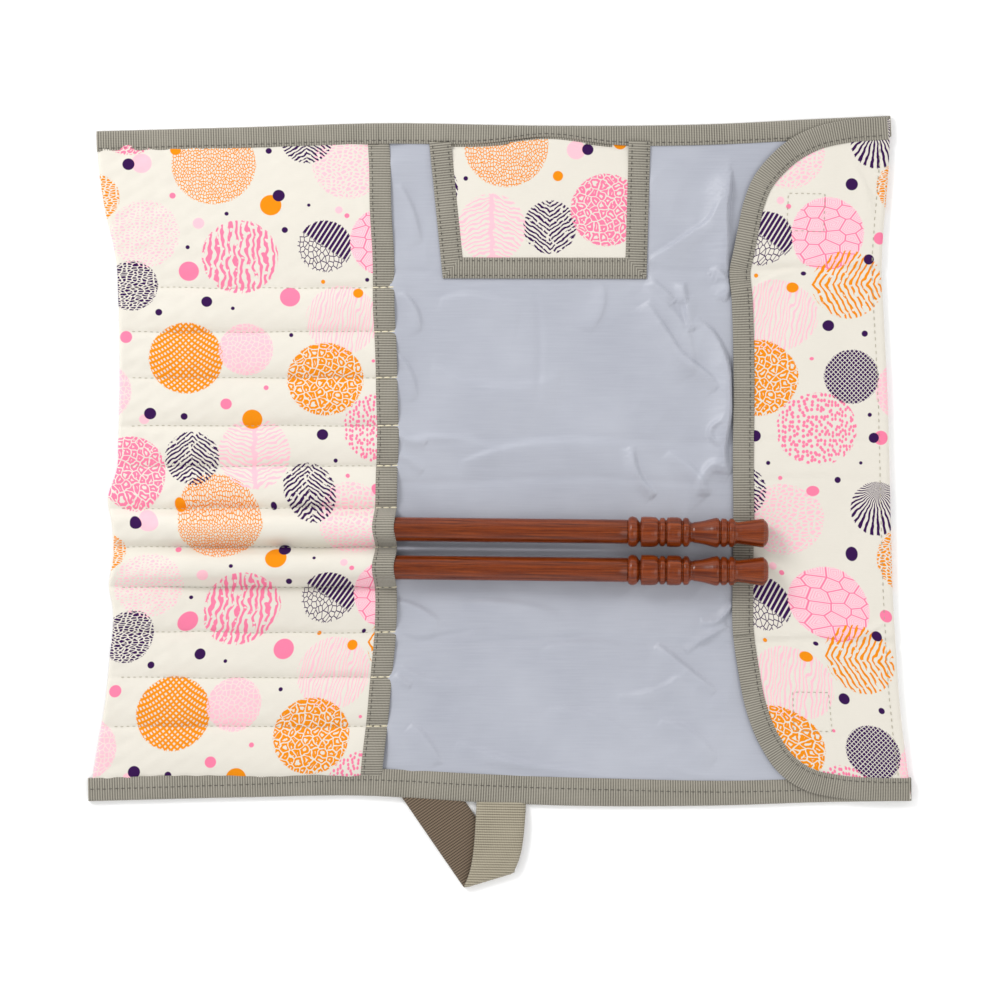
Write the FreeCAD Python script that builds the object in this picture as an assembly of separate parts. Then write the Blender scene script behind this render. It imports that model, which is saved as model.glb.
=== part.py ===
import FreeCAD, Part

import math
import os

from FreeCAD import Rotation, Vector

os.makedirs("parts", exist_ok=True)

# An open fabric needle case that lies on a table, with two wooden needles in its channels.
# X runs along the needles, Y away from the strap, Z up from the table, in millimetres.

# Case outline, open and flat
LEFT_TOP, LEFT_MIDDLE, LEFT_BOTTOM = (-201.5, 184.3), (-191.5, 20.0), (-205.7, -150.5)
TOP_EDGE = [(-55.0, 188.2), (110.0, 188.0)]
BOTTOM_EDGE = [(-65.0, -148.8), (30.0, -151.8), (110.0, -152.4)]
RIGHT_TOP, RIGHT_BOTTOM = (191.5, 190.0), (203.5, -150.2)
SIDE_GAP = 1.5
TAPE_WIDTH = 11.0
TAPE_WALL = 0.6

# Creases between the three sections, and the height of the axes that they fold about
TOP_CREASE, BOTTOM_CREASE = 108.0, -68.0
BIG = 500.0

# Layers, from the table up
TAPE_UNDER = 0.4
SHELL_TOP = 1.4
LINING_TOP = 2.0
CLOTH = 0.8
TAPE_FLANGE = 0.5
MOUTH_TAPE = 1.6

# Needle pockets: seams across the panel, and the puff of an empty pocket
SEAMS = [-113.0, -88.5, -66.0, -43.5, -23.5, -4.0, 17.0, 37.0, 61.0, 84.0, 106.0]
BOTTOM_POCKET_END, TOP_POCKET_END = -135.5, 173.5
PUFF = 4.9
MOUTH_OUTER = [(-54.5, 176.0), (-50.5, 20.0), (-59.5, -140.0)]
MOUTH_INNER = [(-66.0, 176.0), (-61.0, 20.0), (-69.5, -140.0)]
END_WALL = 1.0  # the cloth doubled over at a pocket's closed end

# Needles, each turned from a 12 mm rod with a glued handle
ROD_RADIUS = 6.0
NEEDLE_TIP_X, NEEDLE_END_X = -175.0, 133.5
NEEDLE_TIP_Z, NEEDLE_END_Z = 7.97, 12.15
NEEDLE_TIP_Y = {"upper": -13.2, "lower": -32.2}
NEEDLE_DRIFT_Y = -3.3
POINT_LENGTH, POINT_RADIUS = 24.0, 1.6
HANDLE_LENGTH = 70.0
TENON_RADIUS, TENON_LENGTH = 4.0, 18.0
ARCH_RADIUS = ROD_RADIUS + 1.3
ARCH_Z = 8.87
ARCH_Y = {(-43.5, -23.5): -32.9, (-23.5, -4.0): -13.9}

# Accessory pocket on the top section
POCKET_LEFT, POCKET_RIGHT, POCKET_BOTTOM, POCKET_TOP = -32.5, 73.5, 110.5, 176.5
POCKET_TAPE = 10.5
POCKET_TAPE_THICK = 1.2

# Flap, folded over from the right edge
FLAP_X = 116.0
FLAP_TOP_ARC = [(134.5, 171.5), RIGHT_TOP]
FLAP_BOTTOM_ARC = [(134.5, -130.0), RIGHT_BOTTOM]
FLAP_TAPE_X = 127.0
FLAP_TOP_TAPE_ARC = [(143.5, 165.5), (192.3, 179.0)]
FLAP_BOTTOM_TAPE_ARC = [(144.0, -122.0), (203.0, -138.5)]
FLAP_UNDER, FLAP_TOP = 3.4, 4.2
FLAP_TAPE_UNDER, FLAP_TAPE_TOP = 2.9, 4.7
PATCH = 20.0
PATCHES = {"top": (152.5, 143.5), "bottom": (155.5, -105.5)}

# Webbing loop at the bottom edge
STRAP_THICK = 1.2
STRAP_FOLD = [(-19.2, -191.2), (6.5, -184.5)]
STRAP_ROOT_Y = -154.2
STRAP_UNDER = 0.2

SECTIONS = {
    "top": (TOP_CREASE, BIG),
    "middle": (BOTTOM_CREASE, TOP_CREASE),
    "bottom": (-BIG, BOTTOM_CREASE),
}


def export(name, shape):
    """Write one node's solids."""
    shape = shape.removeSplitter()
    assert shape.isValid() and shape.Solids, name
    shape.exportStep(f"parts/{name}.step")
    print(f"{name}: {len(shape.Solids)} solid, {shape.Volume / 1000:.2f} cm3")


def slab(points, low, high):
    """Extrude a closed outline upwards. A pair of points is the middle and end of an arc."""
    at, edges = Vector(*points[0], low), []
    for point in points[1:] + points[:1]:
        if isinstance(point[0], tuple):
            through, end = (Vector(*p, low) for p in point)
            edges.append(Part.Arc(at, through, end).toShape())
        else:
            end = Vector(*point, low)
            edges.append(Part.makeLine(at, end))
        at = end
    face = Part.Face(Part.Wire(edges))
    return face.extrude(Vector(0, 0, high - low))


def box(x, y, z):
    """A box from three pairs of limits."""
    corner = Vector(min(x), min(y), min(z))
    sides = [max(pair) - min(pair) for pair in (x, y, z)]
    return Part.makeBox(*sides, corner)


def section(shape, name):
    """The stretch of a shape that belongs to one section."""
    return shape.common(box((-BIG, BIG), SECTIONS[name], (-BIG, BIG)))


def on_right_edge(y, gap=SIDE_GAP):
    """The point at this height on the straight fold that the flap turns about."""
    share = (y - RIGHT_BOTTOM[1]) / (RIGHT_TOP[1] - RIGHT_BOTTOM[1])
    return RIGHT_BOTTOM[0] + share * (RIGHT_TOP[0] - RIGHT_BOTTOM[0]) - gap, y


def case_slab(inset, low, high):
    """The whole case outline, with its top and bottom edges set in."""
    def shifted(point, by):
        return point[0], point[1] + by

    right_bottom = on_right_edge(RIGHT_BOTTOM[1] + inset)
    right_top = on_right_edge(RIGHT_TOP[1] - inset)
    points = [shifted(LEFT_TOP, -inset), (LEFT_MIDDLE, shifted(LEFT_BOTTOM, inset))]
    points += [shifted(p, inset) for p in BOTTOM_EDGE] + [right_bottom, right_top]
    points += [shifted(p, -inset) for p in reversed(TOP_EDGE)]
    return slab(points, low, high)


def beyond(curve, side):
    """Everything to one side (-1 left, 1 right) of a curve that runs down the case."""
    (x0, y0), middle, (x1, y1) = curve
    far = side * BIG
    points = [(x0, y0), (middle, (x1, y1)), (x1, -BIG), (far, -BIG), (far, BIG), (x0, BIG)]
    return slab(points, -BIG, BIG)


def arc(centre, radius, start, end, x):
    """An arc in the plane across the needles, between two angles."""
    def at(angle):
        y = centre[0] + radius * math.cos(angle)
        z = centre[1] + radius * math.sin(angle)
        return Vector(x, y, z)

    return Part.Arc(at(start), at((start + end) / 2), at(end)).toShape()


def puff_edges(low, high, height, out, x):
    """An empty pocket's rise and fall as four tangent arcs, from seam to seam."""
    half = (high - low) / 2
    radius = (half**2 + height**2) / (4 * height)
    turn = math.atan2(height / 2 - radius, half / 2)
    hollow, crown = radius - out, radius + out
    top = ((low + high) / 2, LINING_TOP + height - radius)
    foot = LINING_TOP + radius
    return [
        arc((low, foot), hollow, -math.pi / 2, turn, x),
        arc(top, crown, turn + math.pi, math.pi / 2, x),
        arc(top, crown, math.pi / 2, -turn, x),
        arc((high, foot), hollow, math.pi - turn, 1.5 * math.pi, x),
    ]


def arch_edges(low, high, out, x):
    """A filled pocket: a round over the needle, with straight sides down to its seams."""
    centre, radius = (ARCH_Y[low, high], ARCH_Z), ARCH_RADIUS + out
    base = LINING_TOP + out
    touch = []
    for seam, side in ((low, -1), (high, 1)):
        dy, dz = seam - centre[0], base - centre[1]
        lean = math.acos(radius / math.hypot(dy, dz))
        touch.append(math.atan2(dz, dy) % (2 * math.pi) + side * lean)
    left, right = touch[0], touch[1] - 2 * math.pi
    round_edge = arc(centre, radius, left, right, x)
    start, end = round_edge.Vertexes[0].Point, round_edge.Vertexes[1].Point
    if start.y > end.y:
        start, end = end, start
    return [
        Part.makeLine(Vector(x, low, base), start),
        round_edge,
        Part.makeLine(end, Vector(x, high, base)),
    ]


def panel_edges(stops, out, x):
    """The pocket panel's surface across the given stops, with the flat stretches between."""
    edges = []
    for low, high in zip(stops, stops[1:]):
        if (low, high) in ARCH_Y:
            edges += arch_edges(low, high, out, x)
        elif (low, high) in FLATS:
            base = LINING_TOP + out
            edges.append(Part.makeLine(Vector(x, low, base), Vector(x, high, base)))
        else:
            edges += puff_edges(low, high, PUFF, out, x)
    return edges


def pocket_layer(stops, thick):
    """Puffed cloth of one thickness over the pockets between these stops."""
    x = -BIG / 2
    edges = panel_edges(stops, 0.0, x) + panel_edges(stops, thick, x)
    for y in (stops[0], stops[-1]):
        foot, top = Vector(x, y, LINING_TOP), Vector(x, y, LINING_TOP + thick)
        edges.append(Part.makeLine(foot, top))
    wire = Part.Wire(Part.__sortEdges__(edges))
    return Part.Face(wire).extrude(Vector(BIG, 0, 0))


def pocket_space(stops):
    """The space under the panel between these stops."""
    x = -BIG / 2
    spaces = []
    for low, high in zip(stops, stops[1:]):
        if (low, high) in FLATS:
            continue
        over = panel_edges([low, high], 0.0, x)
        under = Part.makeLine(Vector(x, low, LINING_TOP), Vector(x, high, LINING_TOP))
        wire = Part.Wire(Part.__sortEdges__(over + [under]))
        spaces.append(Part.Face(wire).extrude(Vector(BIG, 0, 0)))
    return spaces


TOP_FLAT = (TOP_POCKET_END, 200.0)
BOTTOM_FLAT = (-160.0, BOTTOM_POCKET_END)
CREASE_FLATS = {(SEAMS[-1], TOP_CREASE), (BOTTOM_CREASE, SEAMS[2])}
FLATS = {TOP_FLAT, BOTTOM_FLAT} | CREASE_FLATS
PANELS = {
    "top_pocket_panel": [TOP_CREASE, *TOP_FLAT],
    "upper_pocket_panel": SEAMS[6:] + [TOP_CREASE],
    "needle_pocket_panel": [BOTTOM_CREASE] + SEAMS[2:7],
    "bottom_pocket_panel": [*BOTTOM_FLAT] + SEAMS[:2] + [BOTTOM_CREASE],
}
MOUTH_TAPES = {
    "top_mouth_binding": [TOP_CREASE, TOP_POCKET_END],
    "middle_mouth_binding": [BOTTOM_CREASE] + SEAMS[2:] + [TOP_CREASE],
    "bottom_mouth_binding": [BOTTOM_POCKET_END] + SEAMS[:2] + [BOTTOM_CREASE],
}


def cloth_layers():
    """The outer cloth and the satin lining of each section."""
    shell = case_slab(TAPE_WALL, TAPE_UNDER, SHELL_TOP)
    lining = case_slab(TAPE_WALL, SHELL_TOP, LINING_TOP)
    for name in SECTIONS:
        export(f"{name}_shell", section(shell, name))
        export(f"{name}_lining", section(lining, name))


def pocket_panels():
    """The stitched panel, closed along its left fold, and the tape along its mouth."""
    outline = case_slab(TAPE_WALL, -BIG, BIG)
    left_of_mouth = outline.common(beyond(MOUTH_INNER, -1))
    fold = [(x + END_WALL, y) for x, y in (LEFT_TOP, LEFT_MIDDLE, LEFT_BOTTOM)]
    left_fold = outline.common(beyond(fold, -1))
    for name, stops in PANELS.items():
        shape = pocket_layer(stops, CLOTH).common(left_of_mouth)
        walls = [space.common(left_fold) for space in pocket_space(stops)]
        export(name, shape.fuse(walls))
    along_mouth = beyond(MOUTH_INNER, 1).common(beyond(MOUTH_OUTER, -1))
    for name, stops in MOUTH_TAPES.items():
        export(name, pocket_layer(stops, MOUTH_TAPE).common(along_mouth))


def edge_tapes():
    """Tape folded round the top and bottom edges, thicker where it takes in the panel."""
    outer = case_slab(0.0, 0.0, LINING_TOP + CLOTH + TAPE_FLANGE)
    cloth = case_slab(TAPE_WALL, TAPE_UNDER, LINING_TOP)
    panel = case_slab(TAPE_WALL, TAPE_UNDER, LINING_TOP + CLOTH).common(beyond(MOUTH_INNER, -1))
    thin_top = LINING_TOP + TAPE_FLANGE
    over_thin = beyond(MOUTH_INNER, 1).common(case_slab(0.0, thin_top, BIG))
    band = outer.cut(over_thin).cut(cloth).cut(panel)
    inside = case_slab(TAPE_WIDTH, -BIG, BIG)
    band = band.cut(inside)
    export("top_edge_binding", section(band, "top"))
    export("bottom_edge_binding", section(band, "bottom"))


def accessory_pocket():
    """A small puffed pocket, open towards the top edge, and its three-sided tape."""
    left, right = POCKET_LEFT + POCKET_TAPE, POCKET_RIGHT - POCKET_TAPE
    bottom = POCKET_BOTTOM + POCKET_TAPE
    frame = box((POCKET_LEFT, POCKET_RIGHT), (POCKET_BOTTOM, POCKET_TOP), (0, POCKET_TAPE_THICK))
    frame = frame.cut(box((left, right), (bottom, BIG), (-1, BIG)))
    frame.translate(Vector(0, 0, LINING_TOP))
    export("accessory_pocket_binding", frame)

    def profile(out):
        return puff_edges(left, right, PUFF, out, 0.0)

    low, high = LINING_TOP, LINING_TOP + CLOTH
    ends = [Part.makeLine(Vector(0, x, low), Vector(0, x, high)) for x in (left, right)]
    floor = Part.makeLine(Vector(0, left, low), Vector(0, right, low))
    skin = Part.Face(Part.Wire(Part.__sortEdges__(profile(0.0) + profile(CLOTH) + ends)))
    wall = Part.Face(Part.Wire(Part.__sortEdges__(profile(0.0) + [floor])))
    length = POCKET_TOP - bottom
    shape = skin.extrude(Vector(length, 0, 0)).fuse(wall.extrude(Vector(END_WALL, 0, 0)))
    shape.rotate(Vector(0, 0, 0), Vector(0, 0, 1), 90)
    shape = shape.mirror(Vector(0, 0, 0), Vector(1, 0, 0))
    shape.translate(Vector(0, bottom, 0))
    export("accessory_pocket", shape)


def flap_slab(x, top_arc, bottom_arc, low, high, gap=SIDE_GAP):
    """The flap's outline, from its rounded free edge to the fold at the right."""
    right_bottom = on_right_edge(bottom_arc[1][1], gap)
    right_top = on_right_edge(top_arc[1][1], gap)
    points = [right_top, (top_arc[0], (x, TOP_CREASE)), (x, BOTTOM_CREASE)]
    points.append((bottom_arc[0], right_bottom))
    return slab(points, low, high)


def flap():
    """The flap's cloth, the tape round its free edge and the closure patches under it."""
    arcs = FLAP_TOP_ARC, FLAP_BOTTOM_ARC
    tape_arcs = FLAP_TOP_TAPE_ARC, FLAP_BOTTOM_TAPE_ARC
    whole = flap_slab(FLAP_X, *arcs, FLAP_TAPE_UNDER, FLAP_TAPE_TOP)
    wall_arcs = [
        [(middle[0] + TAPE_WALL, middle[1]), (end[0], end[1] - side * TAPE_WALL)]
        for (middle, end), side in zip(arcs, (1, -1))
    ]
    cloth = flap_slab(FLAP_X + TAPE_WALL, *wall_arcs, FLAP_UNDER, FLAP_TOP)
    inside = flap_slab(FLAP_TAPE_X, *tape_arcs, -BIG, BIG, gap=-SIDE_GAP)
    tape = whole.cut(inside).cut(cloth)
    for name in SECTIONS:
        export(f"{name}_flap_panel", section(cloth, name))
        export(f"{name}_flap_binding", section(tape, name))
    for name, (x, y) in PATCHES.items():
        half = PATCH / 2
        middle = (LINING_TOP + FLAP_UNDER) / 2
        sides = (x - half, x + half), (y - half, y + half)
        export(f"{name}_loop_patch", box(*sides, (LINING_TOP, middle)))
        export(f"{name}_hook_patch", box(*sides, (middle, FLAP_UNDER)))


def turned(points):
    """Revolve a profile about X. Each point is (x, radius), or (middle, end) of an arc."""
    def at(point):
        return Vector(point[0], 0, point[1])

    here, edges = at(points[0]), []
    for point in points[1:]:
        if isinstance(point[0], tuple):
            end = at(point[1])
            edges.append(Part.Arc(here, at(point[0]), end).toShape())
        else:
            end = at(point)
            edges.append(Part.makeLine(here, end))
        here = end
    edges.append(Part.makeLine(here, at(points[0])))
    face = Part.Face(Part.Wire(edges))
    return face.revolve(Vector(0, 0, 0), Vector(1, 0, 0), 360)


def needle_length():
    """The needle's length along its own axis."""
    run_x, run_z = NEEDLE_END_X - NEEDLE_TIP_X, NEEDLE_END_Z - NEEDLE_TIP_Z
    return Vector(run_x, NEEDLE_DRIFT_Y, run_z).Length


def shaft_shape():
    """A rod with a long point and a tenon for the handle."""
    shoulder = needle_length() - HANDLE_LENGTH
    end = shoulder + TENON_LENGTH
    return turned([
        (0.0, 0.0),
        ((0.5, POINT_RADIUS * 0.8), (POINT_RADIUS, POINT_RADIUS * 1.25)),
        ((POINT_LENGTH * 0.45, ROD_RADIUS * 0.78), (POINT_LENGTH, ROD_RADIUS)),
        (shoulder, ROD_RADIUS),
        (shoulder, TENON_RADIUS),
        (end, TENON_RADIUS),
        (end, 0.0),
    ])


def handle_shape():
    """The turned handle: bead, two barrels, thin rings, vase, end piece and cap."""
    handle = turned([
        (TENON_LENGTH, 0.0),
        (TENON_LENGTH, TENON_RADIUS),
        (0.0, TENON_RADIUS),
        (0.0, 6.2),
        (1.2, 7.3),
        (2.4, 7.6),
        (3.7, 7.3),
        (5.4, 5.2),
        (6.4, 5.2),
        (6.7, 7.3),
        (8.6, 7.5),
        (12.8, 7.5),
        (14.4, 7.1),
        (15.3, 5.9),
        (16.2, 6.9),
        (17.2, 7.15),
        (18.2, 6.9),
        (19.1, 5.9),
        (19.6, 7.1),
        (21.5, 7.4),
        (25.0, 7.4),
        (26.3, 7.1),
        (27.1, 5.9),
        (28.0, 7.0),
        (29.0, 7.25),
        (30.0, 7.0),
        (30.9, 5.2),
        (35.0, 5.4),
        (40.0, 6.5),
        (43.6, 7.4),
        (45.0, 7.0),
        (45.7, 5.9),
        (46.7, 6.9),
        (48.8, 6.9),
        (49.8, 5.9),
        (50.7, 6.9),
        (52.6, 6.9),
        (53.5, 5.6),
        (58.0, 5.8),
        (63.0, 6.5),
        (66.9, 7.1),
        (67.7, 6.6),
        (HANDLE_LENGTH, 4.8),
        (HANDLE_LENGTH, 0.0),
    ])
    handle.translate(Vector(needle_length() - HANDLE_LENGTH, 0, 0))
    return handle


def needles():
    """Both needles, rising slightly so that their handles lie on the flap's tape."""
    along = Vector(NEEDLE_END_X - NEEDLE_TIP_X, NEEDLE_DRIFT_Y, NEEDLE_END_Z - NEEDLE_TIP_Z)
    turn = Rotation(Vector(1, 0, 0), along)
    for name, y in NEEDLE_TIP_Y.items():
        place = FreeCAD.Placement(Vector(NEEDLE_TIP_X, y, NEEDLE_TIP_Z), turn)
        for part_name, shape in (("shaft", shaft_shape()), ("handle", handle_shape())):
            shape.Placement = place.multiply(shape.Placement)
            export(f"{name}_needle_{part_name}", shape)


def strap():
    """A loop of flat webbing: one leg under the other, joined by the fold at its far end."""
    (fold_x0, fold_y0), (fold_x1, fold_y1) = STRAP_FOLD
    middle = STRAP_UNDER + STRAP_THICK
    under_leg = [(-46.5, STRAP_ROOT_Y), (-17.0, STRAP_ROOT_Y), STRAP_FOLD[1], STRAP_FOLD[0]]
    over_leg = [(-14.0, STRAP_ROOT_Y), (10.5, STRAP_ROOT_Y), STRAP_FOLD[1], STRAP_FOLD[0]]
    along = Vector(fold_x1 - fold_x0, fold_y1 - fold_y0, 0)
    fold = Part.makeCylinder(STRAP_THICK, along.Length, Vector(fold_x0, fold_y0, middle), along)
    shape = slab(under_leg, STRAP_UNDER, middle).fuse([
        slab(over_leg, middle, middle + STRAP_THICK),
        fold,
    ])
    export("strap", shape)


cloth_layers()
pocket_panels()
edge_tapes()
accessory_pocket()
flap()
needles()
strap()
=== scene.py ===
import math

import bpy
import numpy as np
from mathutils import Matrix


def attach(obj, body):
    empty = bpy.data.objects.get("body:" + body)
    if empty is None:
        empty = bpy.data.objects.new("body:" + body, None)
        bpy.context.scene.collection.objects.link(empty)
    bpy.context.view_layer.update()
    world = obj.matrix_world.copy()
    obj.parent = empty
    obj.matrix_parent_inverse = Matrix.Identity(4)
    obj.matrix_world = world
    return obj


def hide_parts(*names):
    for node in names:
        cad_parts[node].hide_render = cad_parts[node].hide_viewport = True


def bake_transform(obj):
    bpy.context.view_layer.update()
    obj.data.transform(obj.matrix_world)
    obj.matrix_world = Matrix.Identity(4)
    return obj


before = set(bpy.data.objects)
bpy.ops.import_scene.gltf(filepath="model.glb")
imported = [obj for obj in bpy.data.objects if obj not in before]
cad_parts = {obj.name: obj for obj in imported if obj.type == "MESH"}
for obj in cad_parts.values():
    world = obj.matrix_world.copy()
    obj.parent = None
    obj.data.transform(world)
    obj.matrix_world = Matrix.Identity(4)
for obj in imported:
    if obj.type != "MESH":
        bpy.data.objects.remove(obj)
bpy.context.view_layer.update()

MM = 0.001
RNG = np.random.default_rng(7)

# ---- places, in millimetres, in the part's own frame: every length below is in millimetres ----
LEFT_EDGE = [(-150.5, -205.5), (-122.5, -201), (-102, -197.5), (-80, -195.2), (-53.5, -193.6),
             (-44, -195.4), (-28, -193.2), (-12, -194), (0, -196), (16, -191.4), (30, -190.8),
             (100, -190.8), (121, -192), (143, -197), (166, -200.5), (186, -201.5)]
RIGHT_EDGE = [(-150.3, 205.5), (-137, 203.8), (-115.5, 201), (-97.5, 199.2), (-79, 198), (-55, 196.5),
              (-6, 195), (50, 193.6), (96, 191.4), (114, 190.6), (131, 191.2), (148, 192.6), (165, 194),
              (192, 195)]
TOP_EDGE = [(-201.5, 184.3), (-130, 186.2), (-55, 188.3), (25, 187), (110, 188), (160, 190.5), (195, 192)]
BOTTOM_EDGE = [(-205.5, -150.5), (-130, -148.6), (-65, -147.8), (-20, -150.5), (30, -152.6), (110, -152.6),
               (160, -151), (205.5, -150.3)]
FLAP_EDGE = [(193, 191.2), (171, 189.3), (155, 185.3), (143.5, 179.2), (134.5, 171.3), (126.5, 161),
             (122, 150), (118.6, 135), (116.4, 124), (114.6, 114.8), (115.6, 100), (116.2, 84), (116.5, 62),
             (116.2, 20), (116.4, -7), (116, -42), (116.2, -66), (118.8, -85), (123, -105.5), (129.5, -122),
             (140, -137), (151.5, -144.6), (168, -148.6), (186, -150), (204.5, -150.2)]
MOUTH = [(-150, -67.5), (-135, -66), (-113, -63.7), (-88, -61.4), (-66, -59.4), (-43, -58.9), (-33, -60.3),
         (-23.5, -59.1), (-14, -60.5), (-4, -59), (17, -58.3), (38, -58), (80, -59.5), (188, -63)]
SEAMS = [-113.0, -88.5, -66.0, -43.5, -23.5, -4.0, 17.0, 37.0, 61.0, 84.0, 106.0]
POCKET_ENDS = (-138.0, 176.5)
# The two creases the case folds on, and the seam where its upper and lower halves meet
TOP_FOLD, BOTTOM_FOLD, SPLIT = 108.0, -68.0, 17.0
# Where the sharp lines of the top and bottom creases lie
TOP_CREASE, BOTTOM_CREASE = 115.5, -70.5
# The top of the outer cloth with its wadding, and how thick each cloth is
BASE = 2.0
CLOTH, COTTON_THICK, FLAP_THICK, SATIN_THICK = 0.8, 0.7, 0.6, 0.35
# The ribs of the tapes and the webbing
RIB_PITCH, RIB_HEIGHT = 1.25, 0.07
TAPE_PITCH = 0.42
TAU = 2 * math.pi


def curve_at(points, at):
    """A smooth value through given points, by cubic pieces that share their slopes."""
    x, y = (np.array(c, float) for c in zip(*sorted(points)))
    slope = np.gradient(y, x)
    at = np.asarray(at, float)
    i = np.clip(np.searchsorted(x, at) - 1, 0, len(x) - 2)
    h = x[i + 1] - x[i]
    t = np.clip((at - x[i]) / h, 0, 1)
    a, b = 2 * t**3 - 3 * t**2 + 1, t**3 - 2 * t**2 + t
    c, d = -2 * t**3 + 3 * t**2, t**3 - t**2
    return a * y[i] + b * h * slope[i] + c * y[i + 1] + d * h * slope[i + 1]


def smooth_path(points, pitch):
    """A smooth path through points, with stations at an even pitch."""
    p = np.array(points, float)
    length = np.concatenate([[0], np.cumsum(np.linalg.norm(np.diff(p, axis=0), axis=1))])
    fine = np.linspace(0, length[-1], int(length[-1] / pitch) * 4 + 2)
    dense = np.stack([curve_at(list(zip(length, c)), fine) for c in p.T], axis=1)
    return even(dense, pitch)


def even(dense, pitch):
    """Stations at an even pitch along a dense polyline."""
    run = np.concatenate([[0], np.cumsum(np.linalg.norm(np.diff(dense, axis=0), axis=1))])
    at = np.linspace(0, run[-1], max(int(round(run[-1] / pitch)), 2) + 1)
    return np.stack([np.interp(at, run, c) for c in dense.T], axis=1), at


def smooth_noise(x, y, size, seed):
    """Smooth seeded noise between -1 and 1 over the table's plane."""
    rng = np.random.default_rng(seed)
    total = np.zeros(np.broadcast(x, y).shape)
    for _ in range(7):
        angle, phase = rng.uniform(0, math.pi), rng.uniform(0, TAU)
        wave = TAU / (size * rng.uniform(0.7, 1.5))
        total += np.sin((x * math.cos(angle) + y * math.sin(angle)) * wave + phase)
    return total / 3.5


def step(low, high, x):
    """A smooth step from 0 to 1."""
    t = np.clip((np.asarray(x, float) - low) / (high - low), 0, 1)
    return t * t * (3 - 2 * t)


def bump(x, centre, width, power=2):
    """A smooth bump of height 1."""
    return np.exp(-(((x - centre) / width) ** power))


def outward(line, sign=1):
    """Level unit vectors square to a path."""
    tangent = np.gradient(line, axis=0)
    tangent /= np.linalg.norm(tangent, axis=1, keepdims=True)
    return np.stack([-tangent[:, 1], tangent[:, 0]], axis=1) * sign


# ---- meshes ----
def mesh_object(name, vertices, faces, material, uv=None):
    """A mesh object in metres from points in millimetres, with flat cloth coordinates as its UVs."""
    mesh = bpy.data.meshes.new(name)
    mesh.from_pydata((np.asarray(vertices, float) * MM).tolist(), [], [list(map(int, f)) for f in faces])
    mesh.polygons.foreach_set("use_smooth", [True] * len(mesh.polygons))
    if uv is not None:
        corner = np.empty(len(mesh.loops), int)
        mesh.loops.foreach_get("vertex_index", corner)
        layer = mesh.uv_layers.new(name="cloth")
        layer.data.foreach_set("uv", (np.asarray(uv, float)[corner] * MM).ravel())
    mesh.materials.append(material)
    mesh.update()
    piece = bpy.data.objects.new(name, mesh)
    bpy.context.collection.objects.link(piece)
    return piece


def grid_faces(rows, columns, start=0, flip=False):
    """Quads over a grid of points that are numbered along the columns."""
    i, j = np.meshgrid(np.arange(rows - 1), np.arange(columns - 1), indexing="ij")
    a = (start + i * columns + j).ravel()
    quads = np.stack([a, a + 1, a + columns + 1, a + columns], axis=1)
    return quads[:, ::-1] if flip else quads


def grid_normals(points):
    """Normals of a grid of points, rows by columns by three."""
    normal = np.cross(np.gradient(points, axis=1), np.gradient(points, axis=0))
    return normal / np.maximum(np.linalg.norm(normal, axis=2, keepdims=True), 1e-12)


def cloth_sheet(name, points, normals, uv, thickness, material):
    """A closed sheet: the grid of points on top and a second skin under it, with edges between.

    It is shaded with the whole cloth's normals, so that where it is cut in two doesn't show."""
    rows, columns = points.shape[:2]
    count = rows * columns
    under = points - normals * thickness
    vertices = np.concatenate([points.reshape(-1, 3), under.reshape(-1, 3)])
    quads = [grid_faces(rows, columns), grid_faces(rows, columns, count, flip=True)]
    ring = np.concatenate([
        np.arange(columns),
        np.arange(1, rows) * columns + columns - 1,
        (rows - 1) * columns + np.arange(columns - 2, -1, -1),
        np.arange(rows - 2, 0, -1) * columns,
    ])
    after = np.roll(ring, -1)
    quads.append(np.stack([after, ring, ring + count, after + count], axis=1))
    uvs = np.concatenate([uv.reshape(-1, 2)] * 2)
    piece = mesh_object(name, vertices, np.concatenate(quads), material, uvs)
    shading = np.concatenate([normals.reshape(-1, 3), -normals.reshape(-1, 3)])
    piece.data.normals_split_custom_set_from_vertices(shading.tolist())
    return piece


def swept(name, sections, uv_along, material):
    """A tape or strap from its closed cross-sections, station by station, with its ends capped."""
    stations, around = sections.shape[:2]
    vertices = sections.reshape(-1, 3)
    i, j = np.meshgrid(np.arange(stations - 1), np.arange(around), indexing="ij")
    k = (j + 1) % around
    quads = np.stack([i * around + j, i * around + k, (i + 1) * around + k, (i + 1) * around + j], axis=2)
    faces = quads.reshape(-1, 4).tolist()
    faces.append(list(range(around))[::-1])
    faces.append(list(range((stations - 1) * around, stations * around)))
    middle = sections[stations // 2]
    girth = np.linalg.norm(np.diff(np.concatenate([middle, middle[:1]]), axis=0), axis=1)
    v = np.concatenate([[0], np.cumsum(girth)])[:-1]
    run = uv_along if uv_along.ndim == 2 else uv_along[:, None]
    uv = np.stack(np.broadcast_arrays(run, v[None, :]), axis=2).reshape(-1, 2)
    return mesh_object(name, vertices, faces, material, uv)


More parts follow.
